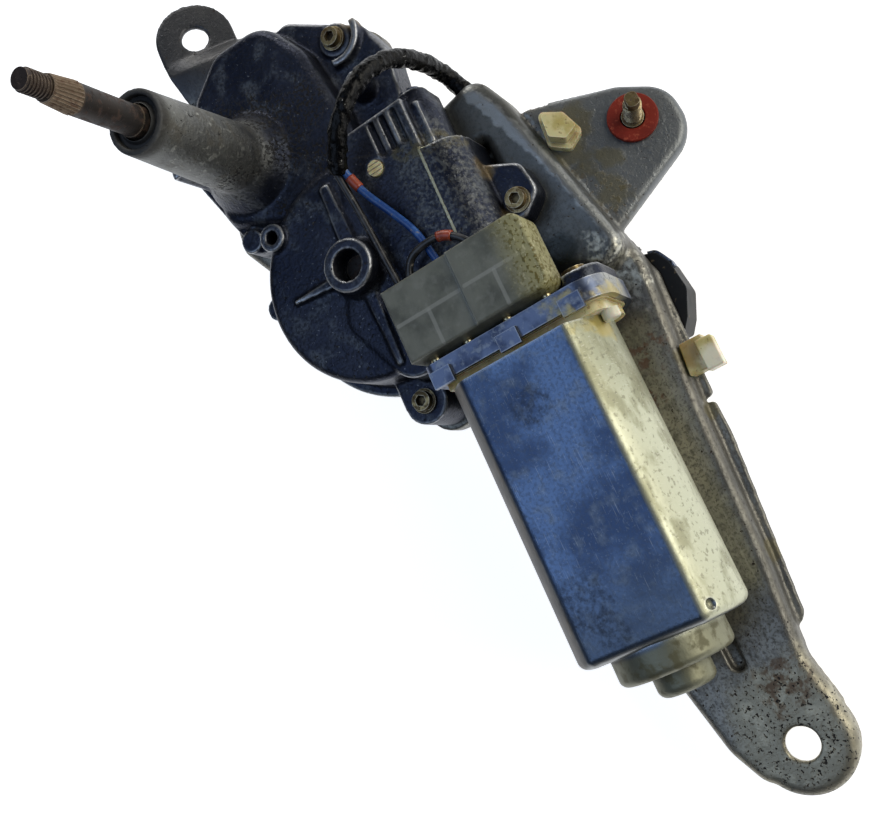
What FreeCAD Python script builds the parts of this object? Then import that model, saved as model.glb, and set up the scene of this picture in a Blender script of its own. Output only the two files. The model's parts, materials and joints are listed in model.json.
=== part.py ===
import FreeCAD, Part
import math
import os

# Rear windshield wiper motor: a worm gear motor with a link mechanism that turns the spindle to and fro.
# Millimetres. Origin on the spindle axis at the housing's spindle shoulder, +Z out along the spindle,
# +X from the gear case to the motor's tail, parallel to the motor shaft.

V = FreeCAD.Vector
X_AXIS = V(1, 0, 0)
Y_AXIS = V(0, 1, 0)
Z_AXIS = V(0, 0, 1)

# Spindle
SHAFT_R = 4.25
FREE_SHAFT_R = 4.0
THREAD_R = 3.0
THREAD_CORE_R = 2.6
SPINDLE_TOP = 79.0
THREAD_BOTTOM = 71.4
KNURL_BOTTOM = 63.4
TUBE_TOP = 42.0
TUBE_R = 8.5
TUBE_BASE_R = 10.2
BUSH_R = 6.0
RUN_GAP = 0.04

# Gear train: one-start worm, worm wheel, crank, sector lever and output pinion
WORM_MODULE = 1.0
WHEEL_TEETH = 51
WORM_PITCH_R = 5.0
WHEEL_X = 47.4
WHEEL_Y = 20.6
CRANK_R = 9.0
LEVER_LENGTH = 48.7
FINAL_MODULE = 1.5
PINION_TEETH = 14
SECTOR_TEETH = 21
PRESSURE_ANGLE = math.radians(25)
LINK_LENGTH = FINAL_MODULE * (PINION_TEETH + SECTOR_TEETH) / 2

# Motor
MOTOR_Y = WHEEL_Y + WORM_MODULE * WHEEL_TEETH / 2 + WORM_PITCH_R
MOTOR_Z = -12.0
CAN_R = 22.4
CAN_HALF_HEIGHT = 16.5
CAN_FRONT = 90.0
CAN_BACK = 167.0
CAN_WALL = 1.8
WORM_START = 34.0
WORM_STOP = 61.0
WORM_TURN = 270.0
ROTOR_START = 112.0
ROTOR_STOP = 146.0
ROTOR_R = 13.4
COMMUTATOR_R = 6.5
COMMUTATOR_START = 95.0
BRUSH_X = 99.5
MOTOR_SCREW_YS = (MOTOR_Y - 19, MOTOR_Y + 19)
END_PLATE = [(-23.5, -14, 5), (-23.5, 15.5, 3), (28, 15.5, 8), (28, -14, 8)]

# Heights of the gear case
DECK_TOP = -2.5
CASE_TOP = -3.0
FAN_TOP = -6.0
CASE_BOTTOM = -25.2
FLANGE_TOP = -21.5
CASE_WALL = 2.6
GASKET = 0.8
COVER = 1.2
BOSS_TOP = 5.0

# Link mechanism heights
WHEEL_FACE = 6.0
LEVER_TOP = -19.6
LEVER_THICK = 4.0
LINK_TOP = -17.2
LINK_THICK = 2.2
CLIP_LOW = LEVER_TOP - LEVER_THICK - 0.9
CRANK_PIN_R = 2.5
WINDOW_NEAR = 47.0
WINDOW_FAR = 50.7
WINDOW_REACH = 7.65
WINDOW_GAP = 0.4
AXLE_R = 3.4

# Where the motor flange, the end plate and the brush card start along X
FLANGE_START = 78.0
END_PLATE_START = 82.0
CARD_START = 87.5

# Bracket
PLATE = 2.0
BRACKET_TOP = -30.0
DECK_LEVEL = -22.0
EAR_R = 12.6
EAR_HOLE_R = 4.3

# Connector cap
CAP_LOW = V(60.0, 27.0, DECK_TOP)
CAP_HIGH = V(80.6, 69.0, 8.6)
CAP_SPLIT = 47.5
CAP_MIDDLE = 70.4

# Gear case: outlines as (x, y, corner radius), centres and radii
WHEEL = V(WHEEL_X, WHEEL_Y, 0)
CASE_R = 30.8
FLANGE_R = 34.0
BAR_Y = 51.0
FAN_CORNERS = [
    (-27, -9, 4), (-36, 3, 9), (-35, 21, 11), (-20, 29.5, 14), (2, 33, 10),
    (20, 34, 6), (24, 8, 4), (13, -14, 6), (-10, -14.5, 8),
]
LUG_PLATE = [(-34, 12, 3), (-35.5, 25, 4), (-20, 46, 5), (-9, 50, 3), (6, 48, 2), (20, 30, 2), (-20, 10, 2)]
LINK_ROOM = [(-26, 14, 3), (-24, 27, 9), (-10, 34, 8), (16, 34, 8), (26, 20, 3)]
LUG_SCREWS = [V(-20.5, 37.3, 0), V(50.5, 65.1, 0), V(85.5, 17.5, 0)]
LUG_TOP = -13.5
LUG_R = 6.5
TUNNEL_R = 9.5
SIDE_LUG = [(37, 54, 1), (36.8, 61, 2), (41.5, 69.8, 4), (50.5, 71.2, 4), (55.6, 65, 3), (54, 54, 1)]
WORM_BORE_R = 6.9
TUNNEL_START = 9.0
TUNNEL_END_R = 4.8
TUNNEL_BUSH_R = 5.0
TUNNEL_NARROW_R = 6.6
TUNNEL_STEP = 28.0
TUNNEL_END = END_PLATE_START
WHEEL_CAVITY_R = 27.6
COVER_SCREWS = [V(-31, 5, 0), V(20, -9.5, 0), V(42, -10, 0), V(76.5, 31.2, 0), V(-2, 39.5, 0)]
VENT = V(25.5, 36.5, 0)
SMALL_BOSS = V(25.8, 0.2, 0)
SMALL_BOSS_R = 4.1
SMALL_BOSS_TOP = -1.0
SHELF_CORNERS = [(-10, -17.5, 1.5), (-5, -19.5, 1.5), (10, -14.5, 2), (24, -10, 2), (28, 2, 2), (-8, -6, 1)]

# Wiring: the plug outline and the routes of the leads
PLUG_CORNERS = [
    (72, 78, 1), (74.6, 86.6, 2), (79, 88.8, 2), (87.5, 89.8, 3), (94.5, 86.6, 2), (98, 84, 1), (98, 78, 1),
]
SLEEVE_R = 2.9
WIRE_R = 1.05
SLEEVE_ROUTE = [
    (73.4, 81, -43.5), (65, 78.3, -42.6), (55, 73.6, -38), (45, 70, -30.5), (34, 68.2, -28),
    (22, 65.8, -27.6), (11, 62.2, -27.4), (1.6, 58.8, -25.6), (0.9, 57.2, -11), (1.1, 52.5, -1),
    (5.5, 46, 6.5), (11.5, 39, 8.5), (18, 33.2, 7.6), (24, 29, 4.2),
]
BLUE_ROUTE = [(23.6, 30.6, 4.6), (30, 31.4, 2.2), (41.5, 37.5, 0.6), (50, 41.2, -0.3), (60.5, 42.5, -0.4)]
BLACK_ROUTE = [(23.0, 28.4, 4.4), (30, 28.6, 2.4), (43, 29.4, 1.6), (52, 29.8, 1.2), (60.5, 30.5, 1.0)]
LOOP_ROUTE = [(60.5, 33.5, 1.0), (54.5, 34.5, 1.2), (52.5, 42, 1.8), (54, 50, 1.9), (60.5, 54, 1.2)]

# Bracket outlines as (x, y, corner radius), the bead along the arm, and the tilts and centres of the ears
ARM_CORNERS = [
    (-34, -20, 6), (-6, -24.5, 10), (10, -26.5, 5), (20, -21, 6), (50, -4, 20), (92, 24, 20),
    (150, 36, 30), (184, 43.2, 12), (201, 47.2, 14), (213, 53.5, 8), (212, 66, 0), (202, 79, 8),
    (186, 75.6, 12), (160, 78.3, 30), (119, 80.5, 30), (77, 84.5, 14), (54, 79, 20), (20, 71, 12),
    (8, 66, 6), (10, 51, 5), (2, 38, 8), (-14, 36, 8), (-34, 33, 8),
]
LOW_EAR = V(204.4, 65.4, 0)
LOW_EAR_R = 13.2
RIM = 8.0
DECK_CORNERS = [
    (12, 51, 4), (8.5, 66.5, 6), (20, 71.5, 12), (54, 79.5, 20), (72, 83.5, 5), (76, 76, 5), (69, 61.4, 5),
    (27.2, 61.4, 1), (27.2, 51, 1),
]
SIDE_STRIP = [(118, 76, 1), (118, 83.2, 1), (127, 83.4, 6), (160, 80.6, 20), (176, 79.2, 2), (180, 76, 1)]
BEAD_START = V(100, 56, 0)
BEAD_END = V(181, 59.5, 0)
SIDE_TILT = 16.2
SIDE_BEND = V(0, 80, -28.0)
SIDE_HOLE = V(40.6, 18.9, 3.05)
SIDE_CORNERS = [
    (17, -10, 0), (22.4, -6.4, 4), (29.6, 19.3, 11), (36, 31.4, 10), (51, 32.2, 11), (66.5, 4, 8),
    (70, -3, 0), (40, -9, 0),
]
SIDE_RIM = 5.0
TOP_TILT = 30.0
TOP_EAR = V(-60.6, -11.0, -28.2)
FLANGE_STRIP = [(70, 78, 2), (74, 83.2, 3), (80, 85.4, 6), (116.5, 83.6, 1), (117, 78, 1)]


def angle_between(side_a, side_b, opposite):
    """Angle between two triangle sides, from the length of the side that faces it."""
    return math.acos((side_a ** 2 + side_b ** 2 - opposite ** 2) / (2 * side_a * side_b))


# Park position: the crank and the lever lie in one line, folded, so the link is at one end of its swing.
CENTRES = math.hypot(WHEEL_X, WHEEL_Y)
CENTRE_LINE = math.atan2(WHEEL_Y, WHEEL_X)
PARK_LINK = CENTRE_LINE + angle_between(CENTRES, LINK_LENGTH, LEVER_LENGTH - CRANK_R)
FAR_LINK = CENTRE_LINE + angle_between(CENTRES, LINK_LENGTH, LEVER_LENGTH + CRANK_R)


def link_end(angle):
    return V(LINK_LENGTH * math.cos(angle), LINK_LENGTH * math.sin(angle), 0)


def heading(start, end):
    return math.atan2(end.y - start.y, end.x - start.x)


LINK_END = link_end(PARK_LINK)
PARK_LEVER = heading(LINK_END, WHEEL)
FAR_LEVER = heading(link_end(FAR_LINK), WHEEL)
CRANK = LINK_END + V(LEVER_LENGTH * math.cos(PARK_LEVER), LEVER_LENGTH * math.sin(PARK_LEVER), 0)
WHEEL_SWEEP = math.pi + FAR_LEVER - PARK_LEVER
LINK_SWEEP = FAR_LINK - PARK_LINK
LEVER_SWEEP = (FAR_LEVER - PARK_LEVER) - LINK_SWEEP
OUTPUT_SWEEP = LINK_SWEEP - LEVER_SWEEP * SECTOR_TEETH / PINION_TEETH


# Basic solids

def disc(radius, low, high, x=0.0, y=0.0):
    return Part.makeCylinder(radius, high - low, V(x, y, low))


def ring(outer, inner, low, high, x=0.0, y=0.0):
    return disc(outer, low, high, x, y).cut(disc(inner, low - 1, high + 1, x, y))


def rod(radius, start, end):
    return Part.makeCylinder(radius, (end - start).Length, start, end - start)


def bar_x(radius, low, high, y=MOTOR_Y, z=MOTOR_Z):
    return rod(radius, V(low, y, z), V(high, y, z))


def cone(low_r, high_r, low, high, x=0.0, y=0.0):
    return Part.makeCone(low_r, high_r, high - low, V(x, y, low))


def block(low, high):
    size = high - low
    return Part.makeBox(size.x, size.y, size.z, low)


def outline(corners):
    """A closed flat wire through (x, y, corner radius) corners, each corner rounded by a tangent arc."""
    points = [V(x, y, 0) for x, y, _ in corners]
    radii = [r for _, _, r in corners]
    edges = []
    starts = []
    ends = []
    for i, point in enumerate(points):
        back = (points[i - 1] - point).normalize()
        ahead = (points[(i + 1) % len(points)] - point).normalize()
        half = back.getAngle(ahead) / 2
        reach = radii[i] / math.tan(half)
        middle = (back + ahead).normalize() * (radii[i] / math.sin(half) - radii[i])
        starts.append(point + back * reach)
        ends.append(point + ahead * reach)
        if radii[i] > 0:
            edges.append((Part.Arc(starts[i], point + middle, ends[i]).toShape(), i))
    for i in range(len(points)):
        following = (i + 1) % len(points)
        if (starts[following] - ends[i]).Length > 1e-6:
            edges.append((Part.LineSegment(ends[i], starts[following]).toShape(), i + 0.5))
    edges.sort(key=lambda item: item[1])
    return Part.Wire([edge for edge, _ in edges])


def slab(corners, low, high, inset=0.0):
    """A plate of an outline's shape, optionally drawn in all round by a distance."""
    face = Part.Face(outline(corners))
    if inset:
        face = face.makeOffset2D(-inset)
    return face.extrude(V(0, 0, high - low)).translated(V(0, 0, low))


def soft_slab(corners, low, high, round_r, inset=0.0):
    """A slab whose upper edge is rounded all the way round."""
    return soft_top(slab(corners, low, high, inset), high, round_r)


def soft_top(solid, high, round_r):
    rim = [e for e in solid.Edges if e.BoundBox.ZMin > high - 0.001]
    return solid.makeFillet(round_r, rim)


def hexagon(across_flats, low, high, x, y, turn=0.0):
    radius = across_flats / math.sqrt(3)
    angles = [math.radians(60 * i + turn) for i in range(6)]
    corners = [(x + radius * math.cos(a), y + radius * math.sin(a), 0) for a in angles]
    return slab(corners, low, high)


def upright(corners, low, high, inset=0.0):
    """A plate square to the motor shaft, its outline given as (y, z, corner radius) from the shaft's axis."""
    plate = slab(corners, 0, high - low, inset)
    plate.rotate(V(0, 0, 0), V(1, 1, 1), 120)
    return plate.translated(V(low, MOTOR_Y, MOTOR_Z))


def helix_ridge(core_r, tip_r, pitch, start, turns, root_width, tip_width):
    """A screw ridge about +Z, rising from a height, right-handed, its profile a trapezium."""
    spine = Part.makeHelix(pitch, pitch * turns, core_r)
    inner_r = core_r - 0.15
    profile = Part.makePolygon([
        V(inner_r, 0, -root_width / 2),
        V(tip_r, 0, -tip_width / 2),
        V(tip_r, 0, tip_width / 2),
        V(inner_r, 0, root_width / 2),
        V(inner_r, 0, -root_width / 2),
    ])
    ridge = Part.Wire(spine.Edges).makePipeShell([profile], True, True)
    return ridge.translated(V(0, 0, start))


def cord(points, radius):
    """A round lead along straight runs joined by tangent arcs, each as large as its two runs allow."""
    route = [V(*p) for p in points]
    edges = []
    here = route[0]
    for before, corner, after in zip(route, route[1:], route[2:]):
        back = before - corner
        ahead = after - corner
        half = back.getAngle(ahead) / 2
        reach = 0.45 * min(back.Length, ahead.Length)
        bend = reach * math.tan(half)
        back.normalize()
        ahead.normalize()
        middle = (back + ahead).normalize() * (bend / math.sin(half) - bend)
        start = corner + back * reach
        edges.append(Part.LineSegment(here, start).toShape())
        edges.append(Part.Arc(start, corner + middle, corner + ahead * reach).toShape())
        here = corner + ahead * reach
    edges.append(Part.LineSegment(here, route[-1]).toShape())
    path = Part.Wire(edges)
    section = Part.Wire(Part.makeCircle(radius, route[0], route[1] - route[0]))
    return path.makePipeShell([section], True, False)


def joined(shapes):
    first, *rest = shapes
    return first.fuse(rest).removeSplitter()


# Gears

def involute(base_r, radius):
    """Polar angle of the involute from its start on the base circle out to a radius."""
    turn = math.sqrt(max(radius ** 2 / base_r ** 2 - 1, 0))
    return turn - math.atan(turn)


def tooth_corners(module, teeth, middle, backlash, steps=4):
    """One gear tooth's outline, from its root on one side to its root on the other."""
    pitch_r = module * teeth / 2
    base_r = pitch_r * math.cos(PRESSURE_ANGLE)
    root_r = pitch_r - 1.25 * module
    tip_r = pitch_r + module
    half = math.pi / (2 * teeth) - backlash / (2 * pitch_r) + involute(base_r, pitch_r)
    low = max(base_r, root_r)
    flank = [low + (tip_r - low) * i / steps for i in range(steps + 1)]
    rising = [(r, -(half - involute(base_r, r))) for r in flank]
    falling = [(r, -a) for r, a in reversed(rising)]
    polar = [(root_r, rising[0][1])] + rising + falling + [(root_r, falling[-1][1])]
    return [V(r * math.cos(middle + a), r * math.sin(middle + a), 0) for r, a in polar]


def gear_teeth(module, teeth, first, count, low, high, backlash):
    """A run of teeth about the origin, the first centred on an angle, standing on the gear's root circle."""
    root_r = module * teeth / 2 - 1.25 * module
    shapes = []
    for i in range(count):
        middle = first + 2 * math.pi * i / teeth
        inner = V(math.cos(middle), math.sin(middle), 0) * (root_r * 0.9)
        corners = [inner] + tooth_corners(module, teeth, middle, backlash) + [inner]
        face = Part.Face(Part.makePolygon(corners))
        shapes.append(face.extrude(V(0, 0, high - low)).translated(V(0, 0, low)))
    return shapes


def gear(module, teeth, phase, low, high, backlash):
    root_r = module * teeth / 2 - 1.25 * module
    return joined([disc(root_r, low, high)] + gear_teeth(module, teeth, phase, teeth, low, high, backlash))


# Gear housing


def case_outside():
    wheel_case = soft_top(disc(CASE_R, CASE_BOTTOM, CASE_TOP, WHEEL_X, WHEEL_Y), CASE_TOP, 2.4)
    flange = disc(FLANGE_R, CASE_BOTTOM, FLANGE_TOP, WHEEL_X, WHEEL_Y)
    fan = soft_slab(FAN_CORNERS, CASE_BOTTOM, FAN_TOP, 2.8)
    deck_corners = [(12, 30, 3), (12, 51, 0), (82, 51, 0), (82, 20, 8), (60, 10, 8)]
    deck = soft_slab(deck_corners, CASE_BOTTOM, DECK_TOP, 1.0)
    return [wheel_case, flange, fan, deck]


def worm_tunnel():
    wide = bar_x(TUNNEL_R, TUNNEL_STEP, TUNNEL_END, BAR_Y)
    foot_low = V(TUNNEL_STEP, BAR_Y - TUNNEL_R, CASE_BOTTOM)
    foot_high = V(TUNNEL_END, BAR_Y + TUNNEL_R, MOTOR_Z)
    wide = wide.fuse(block(foot_low, foot_high))
    narrow = bar_x(TUNNEL_NARROW_R, TUNNEL_START + 7, TUNNEL_STEP, BAR_Y)
    tip_start = V(TUNNEL_START, BAR_Y, MOTOR_Z)
    tip = Part.makeCone(TUNNEL_END_R, TUNNEL_NARROW_R, 7.0, tip_start, X_AXIS)
    foot = block(V(TUNNEL_START, BAR_Y - TUNNEL_R, CASE_BOTTOM + 4), V(TUNNEL_STEP, BAR_Y + 4.8, MOTOR_Z))
    rib = block(V(14, 52.6, MOTOR_Z), V(27, 54.2, MOTOR_Z + 6.8))
    return [wide, narrow, tip, foot, rib]


def deck_grooves():
    """Three grooves along the worm in the low corner of the deck."""
    return [block(V(13.2, y - 0.9, DECK_TOP - 1.5), V(24, y + 0.9, DECK_TOP + 1)) for y in (40.2, 43.8, 47.4)]


def mounting_lugs():
    first, second, third = LUG_SCREWS
    plate = soft_slab(LUG_PLATE, CASE_BOTTOM, LUG_TOP - 1, 1.0)
    shapes = [plate, disc(LUG_R - 1.5, BRACKET_TOP, LUG_TOP, first.x, first.y)]
    shapes.append(soft_slab(SIDE_LUG, DECK_LEVEL, LUG_TOP, 0.8))
    shapes.append(disc(LUG_R, BRACKET_TOP, LUG_TOP, third.x, third.y))
    shapes.append(block(V(WHEEL_X + 20, third.y - LUG_R, CASE_BOTTOM), V(third.x, third.y + LUG_R, LUG_TOP)))
    wall = ring(8.6, 6.6, LUG_TOP - 2, LUG_TOP + 2.2, first.x, first.y)
    wall = wall.common(block(V(first.x - 1, first.y - 3, -40), V(first.x + 9, first.y + 9, 0)))
    return shapes + [wall]


def motor_flange():
    """The face that the motor bolts to, square to the worm."""
    corners = [(-22, -12, 5), (-22, 11, 5), (27.4, 11, 6), (27.4, -12, 6)]
    return upright(corners, FLANGE_START, FLANGE_START + 4)


def top_details():
    ribs = []
    for turn, length, half_width in ((180, 26, 1.9), (-94, 22, 1.0), (0, 29, 1.2)):
        corners = [
            (6, -half_width - 0.6, 0),
            (length, -half_width + 0.4, 0.5),
            (length, half_width - 0.4, 0.5),
            (6, half_width + 0.6, 0),
        ]
        rib = slab(corners, CASE_TOP - 1, CASE_TOP + 1.5)
        rib.rotate(V(0, 0, 0), Z_AXIS, turn)
        ribs.append(rib.translated(WHEEL))
    boss = soft_top(disc(7.4, CASE_TOP - 1, BOSS_TOP, WHEEL_X, WHEEL_Y), BOSS_TOP, 0.8)
    skirt = cone(9.2, 7.4, CASE_TOP - 0.5, CASE_TOP + 2.2, WHEEL_X, WHEEL_Y)
    small_boss = disc(SMALL_BOSS_R, FAN_TOP - 3, SMALL_BOSS_TOP, SMALL_BOSS.x, SMALL_BOSS.y)
    small_boss = soft_top(small_boss, SMALL_BOSS_TOP, 0.6)
    shelf = slab(SHELF_CORNERS, -13, -9)
    return ribs + [boss, skirt, small_boss, shelf]


def spindle_tube():
    tube = cone(TUBE_BASE_R, TUBE_R, -2.0, TUBE_TOP)
    root = cone(TUBE_BASE_R + 5, TUBE_BASE_R, FAN_TOP - 0.5, 1.5)
    side_rib = block(V(-1.3, -TUBE_BASE_R - 4, FAN_TOP - 1), V(1.3, -TUBE_R + 1, 12))
    return [tube, root, side_rib]


def case_cavity():
    fan = slab(FAN_CORNERS, CASE_BOTTOM - 1, FAN_TOP - CASE_WALL, CASE_WALL)
    wheel_room = disc(WHEEL_CAVITY_R, CASE_BOTTOM - 1, CASE_TOP - CASE_WALL, WHEEL_X, WHEEL_Y)
    worm_room = bar_x(WORM_BORE_R, TUNNEL_STEP, TUNNEL_END + 1)
    bush_room = bar_x(TUNNEL_BUSH_R, TUNNEL_START + 8, TUNNEL_STEP + 1)
    stop_room = bar_x(3.2, TUNNEL_START - 1, TUNNEL_START + 9)
    passage = block(V(12, 2, CASE_BOTTOM - 1), V(40, 32, FAN_TOP - CASE_WALL))
    link_room = slab(LINK_ROOM, CASE_BOTTOM - 1, LINK_TOP + 1)
    pinion_room = disc(13.2, CASE_BOTTOM - 1, LINK_TOP + 1)
    return [fan, link_room, pinion_room, wheel_room, worm_room, bush_room, stop_room, passage]


def inner_bosses():
    spindle_boss = disc(9.4, -16.6, FAN_TOP - 1)
    axle_boss = disc(6.6, -6.2, CASE_TOP - 1, WHEEL_X, WHEEL_Y)
    return [spindle_boss, axle_boss]


def gear_housing():
    outside = case_outside() + worm_tunnel() + mounting_lugs() + [motor_flange()] + top_details()
    body = joined(outside + spindle_tube()).cut(case_cavity())
    posts = [disc(3.6, CASE_BOTTOM, LEVER_TOP + 12, p.x, p.y) for p in COVER_SCREWS]
    body = body.fuse(inner_bosses() + posts)
    holes = [disc(BUSH_R, -30, TUBE_TOP + 1), disc(6.9, TUBE_TOP - 5, TUBE_TOP + 1)]
    holes.append(disc(AXLE_R, -7, BOSS_TOP - 6, WHEEL_X, WHEEL_Y))
    holes.append(disc(4.3, BOSS_TOP - 6.5, BOSS_TOP + 1, WHEEL_X, WHEEL_Y))
    holes.append(disc(1.9, FAN_TOP - 2, 0, SMALL_BOSS.x, SMALL_BOSS.y))
    holes += [disc(2.6, BRACKET_TOP - 1, LUG_TOP + 1, p.x, p.y) for p in LUG_SCREWS]
    holes += [disc(1.7, CASE_BOTTOM - 1, CASE_BOTTOM + 7, p.x, p.y) for p in COVER_SCREWS]
    holes.append(disc(2.2, -4.1, 0, VENT.x, VENT.y))
    holes += [bar_x(2.1, 76, 88, y) for y in MOTOR_SCREW_YS]
    holes += [bar_x(3.8, 70, FLANGE_START, y) for y in MOTOR_SCREW_YS]
    holes.append(block(CAP_LOW, CAP_HIGH))
    return body.cut(holes + deck_grooves()).removeSplitter()


def post_reliefs(low, high):
    """Room in the cover and its gasket for the two posts that stand on the bracket."""
    first, _, third = LUG_SCREWS
    return [disc(LUG_R - 1.2, low, high, first.x, first.y), disc(LUG_R + 0.4, low, high, third.x, third.y)]


def gear_cover():
    fan = slab(FAN_CORNERS, 0, COVER)
    lug_side = slab(LUG_PLATE, 0, COVER, 1.0)
    wheel = disc(FLANGE_R - 1.0, 0, COVER, WHEEL_X, WHEEL_Y)
    dish = disc(24, -2.0, COVER, WHEEL_X, WHEEL_Y).cut(disc(22.8, -0.8, COVER + 1, WHEEL_X, WHEEL_Y))
    cover = joined([fan, lug_side, wheel, dish])
    holes = [disc(2.0, -5, 5, p.x, p.y) for p in COVER_SCREWS]
    return cover.cut(post_reliefs(-5, 5) + holes)


def placed_cover():
    return gear_cover().translated(V(0, 0, CASE_BOTTOM - GASKET - COVER))


def cover_gasket():
    low = CASE_BOTTOM - GASKET
    wheel = disc(FLANGE_R - 1, low, CASE_BOTTOM, WHEEL_X, WHEEL_Y)
    whole = joined([slab(FAN_CORNERS, low, CASE_BOTTOM), slab(LUG_PLATE, low, CASE_BOTTOM, 1.0), wheel])
    posts = [disc(3.6, CASE_BOTTOM - 3, CASE_BOTTOM + 1, p.x, p.y) for p in COVER_SCREWS]
    room = joined(case_cavity()).translated(V(0, 0, -0.5)).cut(posts)
    holes = [disc(2.0, -40, 0, p.x, p.y) for p in COVER_SCREWS]
    gasket = whole.cut([room] + post_reliefs(-40, 0) + holes)
    return max(gasket.Solids, key=lambda s: s.Volume)


def cover_screws():
    top = CASE_BOTTOM - GASKET - COVER
    screws = []
    for p in COVER_SCREWS:
        head = disc(3.2, top - 2.2, top, p.x, p.y)
        shank = disc(1.65, top, CASE_BOTTOM + 6, p.x, p.y)
        slot = block(V(p.x - 2.2, p.y - 0.45, top - 3), V(p.x + 2.2, p.y + 0.45, top - 1.2))
        cross = block(V(p.x - 0.45, p.y - 2.2, top - 3), V(p.x + 0.45, p.y + 2.2, top - 1.2))
        screws.append(head.fuse(shank).cut([slot, cross]))
    return Part.makeCompound(screws)


def bracket_screws():
    screws = []
    for p in LUG_SCREWS:
        head = disc(2.7, LUG_TOP + 0.8, LUG_TOP + 3.0, p.x, p.y)
        washer = disc(3.5, LUG_TOP, LUG_TOP + 0.8, p.x, p.y)
        shank = disc(2.5, BRACKET_TOP - 6, LUG_TOP, p.x, p.y)
        socket = hexagon(2.8, LUG_TOP + 1.2, LUG_TOP + 4, p.x, p.y)
        screws.append(joined([head, washer, shank]).cut(socket))
    return Part.makeCompound(screws)


# Spindle and its bearings

def spindle_bush(low, high):
    return ring(BUSH_R, SHAFT_R + RUN_GAP, low, high)


def spindle_seal():
    body = ring(6.85, 4.7, TUBE_TOP - 4.6, TUBE_TOP - 1.6)
    lip = cone(5.6, 4.9, TUBE_TOP - 1.6, TUBE_TOP - 0.6).cut(disc(4.7, 0, TUBE_TOP + 1))
    return body.fuse(lip).removeSplitter()


def splined(low_r, high_r, low, high, count):
    """A tapered, straight-knurled length: a loft between two star outlines."""
    wires = []
    for radius, z in ((low_r, low), (high_r, high)):
        corners = []
        for i in range(2 * count):
            reach = radius if i % 2 == 0 else radius - 0.35
            turn = math.pi * i / count
            corners.append(V(reach * math.cos(turn), reach * math.sin(turn), z))
        wires.append(Part.makePolygon(corners + [corners[0]]))
    return Part.makeLoft(wires, True, True)


def output_shaft():
    plain = disc(SHAFT_R, CASE_BOTTOM + 0.4, TUBE_TOP + 1)
    free = disc(FREE_SHAFT_R, TUBE_TOP, KNURL_BOTTOM)
    knurl = splined(4.2, 3.5, KNURL_BOTTOM, THREAD_BOTTOM, 26)
    core = disc(THREAD_CORE_R, THREAD_BOTTOM, SPINDLE_TOP)
    neck = disc(3.3, THREAD_BOTTOM - 0.6, THREAD_BOTTOM + 0.4)
    thread = helix_ridge(THREAD_CORE_R, THREAD_R, 1.0, THREAD_BOTTOM + 0.7, 6.2, 0.85, 0.15)
    groove = ring(SHAFT_R + 1, SHAFT_R - 0.5, CLIP_LOW, CLIP_LOW + 0.8)
    return joined([plain, free, knurl, core, neck, thread]).cut(groove)


def output_pinion():
    teeth = gear(FINAL_MODULE, PINION_TEETH, PARK_LINK, LEVER_TOP - LEVER_THICK, LEVER_TOP, 0.16)
    return teeth.cut(disc(SHAFT_R, -40, 0))


def shaft_clip():
    clip = ring(6.6, SHAFT_R - 0.5, CLIP_LOW, CLIP_LOW + 0.8)
    return clip.cut(block(V(2, -1.6, -40), V(9, 1.6, 0)))


def shaft_washer():
    return ring(8.4, 4.65, LINK_TOP + 0.08, LINK_TOP + 0.55)


# Link, lever and worm wheel

def link_plate():
    low = LINK_TOP - LINK_THICK
    arm = block(V(0, -5.2, low), V(LINK_LENGTH, 5.2, LINK_TOP))
    arm.rotate(V(0, 0, 0), Z_AXIS, math.degrees(PARK_LINK))
    hub = disc(7.4, low, LINK_TOP)
    end = disc(5.8, low, LINK_TOP, LINK_END.x, LINK_END.y)
    holes = [disc(SHAFT_R + RUN_GAP, -40, 0), disc(3.0, -40, 0, LINK_END.x, LINK_END.y)]
    return joined([hub, arm, end]).cut(holes)


def link_pin():
    stem = disc(3.0, CLIP_LOW, LINK_TOP, LINK_END.x, LINK_END.y)
    head = disc(4.4, CLIP_LOW - 0.1, LEVER_TOP - LEVER_THICK - 0.2, LINK_END.x, LINK_END.y)
    return stem.fuse(head).removeSplitter()


def pin_window(margin, low, high):
    """The oblong that the crank pin moves in, a margin larger than the pin centre's travel."""
    near = WINDOW_NEAR - margin
    far = WINDOW_FAR + margin
    side = WINDOW_REACH + margin
    round_r = min(margin, 5.5)
    corners = [(near, -margin), (far, -margin), (far, side), (near, side)]
    oblong = slab([(x, y, round_r) for x, y in corners], low, high)
    oblong.rotate(V(0, 0, 0), Z_AXIS, math.degrees(PARK_LEVER))
    return oblong


def sector_lever():
    low = LEVER_TOP - LEVER_THICK
    pitch_turn = 2 * math.pi / SECTOR_TEETH
    facing = PARK_LINK + math.pi
    first = facing - 1.5 * pitch_turn
    root_r = FINAL_MODULE * SECTOR_TEETH / 2 - 1.25 * FINAL_MODULE
    span = 6 * pitch_turn
    pie = Part.makeCylinder(root_r, LEVER_THICK, V(0, 0, low), Z_AXIS, math.degrees(span))
    pie.rotate(V(0, 0, 0), Z_AXIS, math.degrees(first - pitch_turn / 2))
    teeth = gear_teeth(FINAL_MODULE, SECTOR_TEETH, first, 6, low, LEVER_TOP, 0.16)
    hub = disc(6.0, low, LEVER_TOP)
    arm = block(V(0, -4.2, low), V(LEVER_LENGTH, 4.2, LEVER_TOP))
    arm.rotate(V(0, 0, 0), Z_AXIS, math.degrees(PARK_LEVER))
    eye = pin_window(CRANK_PIN_R + WINDOW_GAP + 3.0, low, LEVER_TOP)
    window = pin_window(CRANK_PIN_R + WINDOW_GAP, low - 1, LEVER_TOP + 1)
    body = joined([hub, pie, arm, eye] + teeth).cut([window, disc(3.0 + RUN_GAP, -40, 0)])
    return body.translated(LINK_END)


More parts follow.
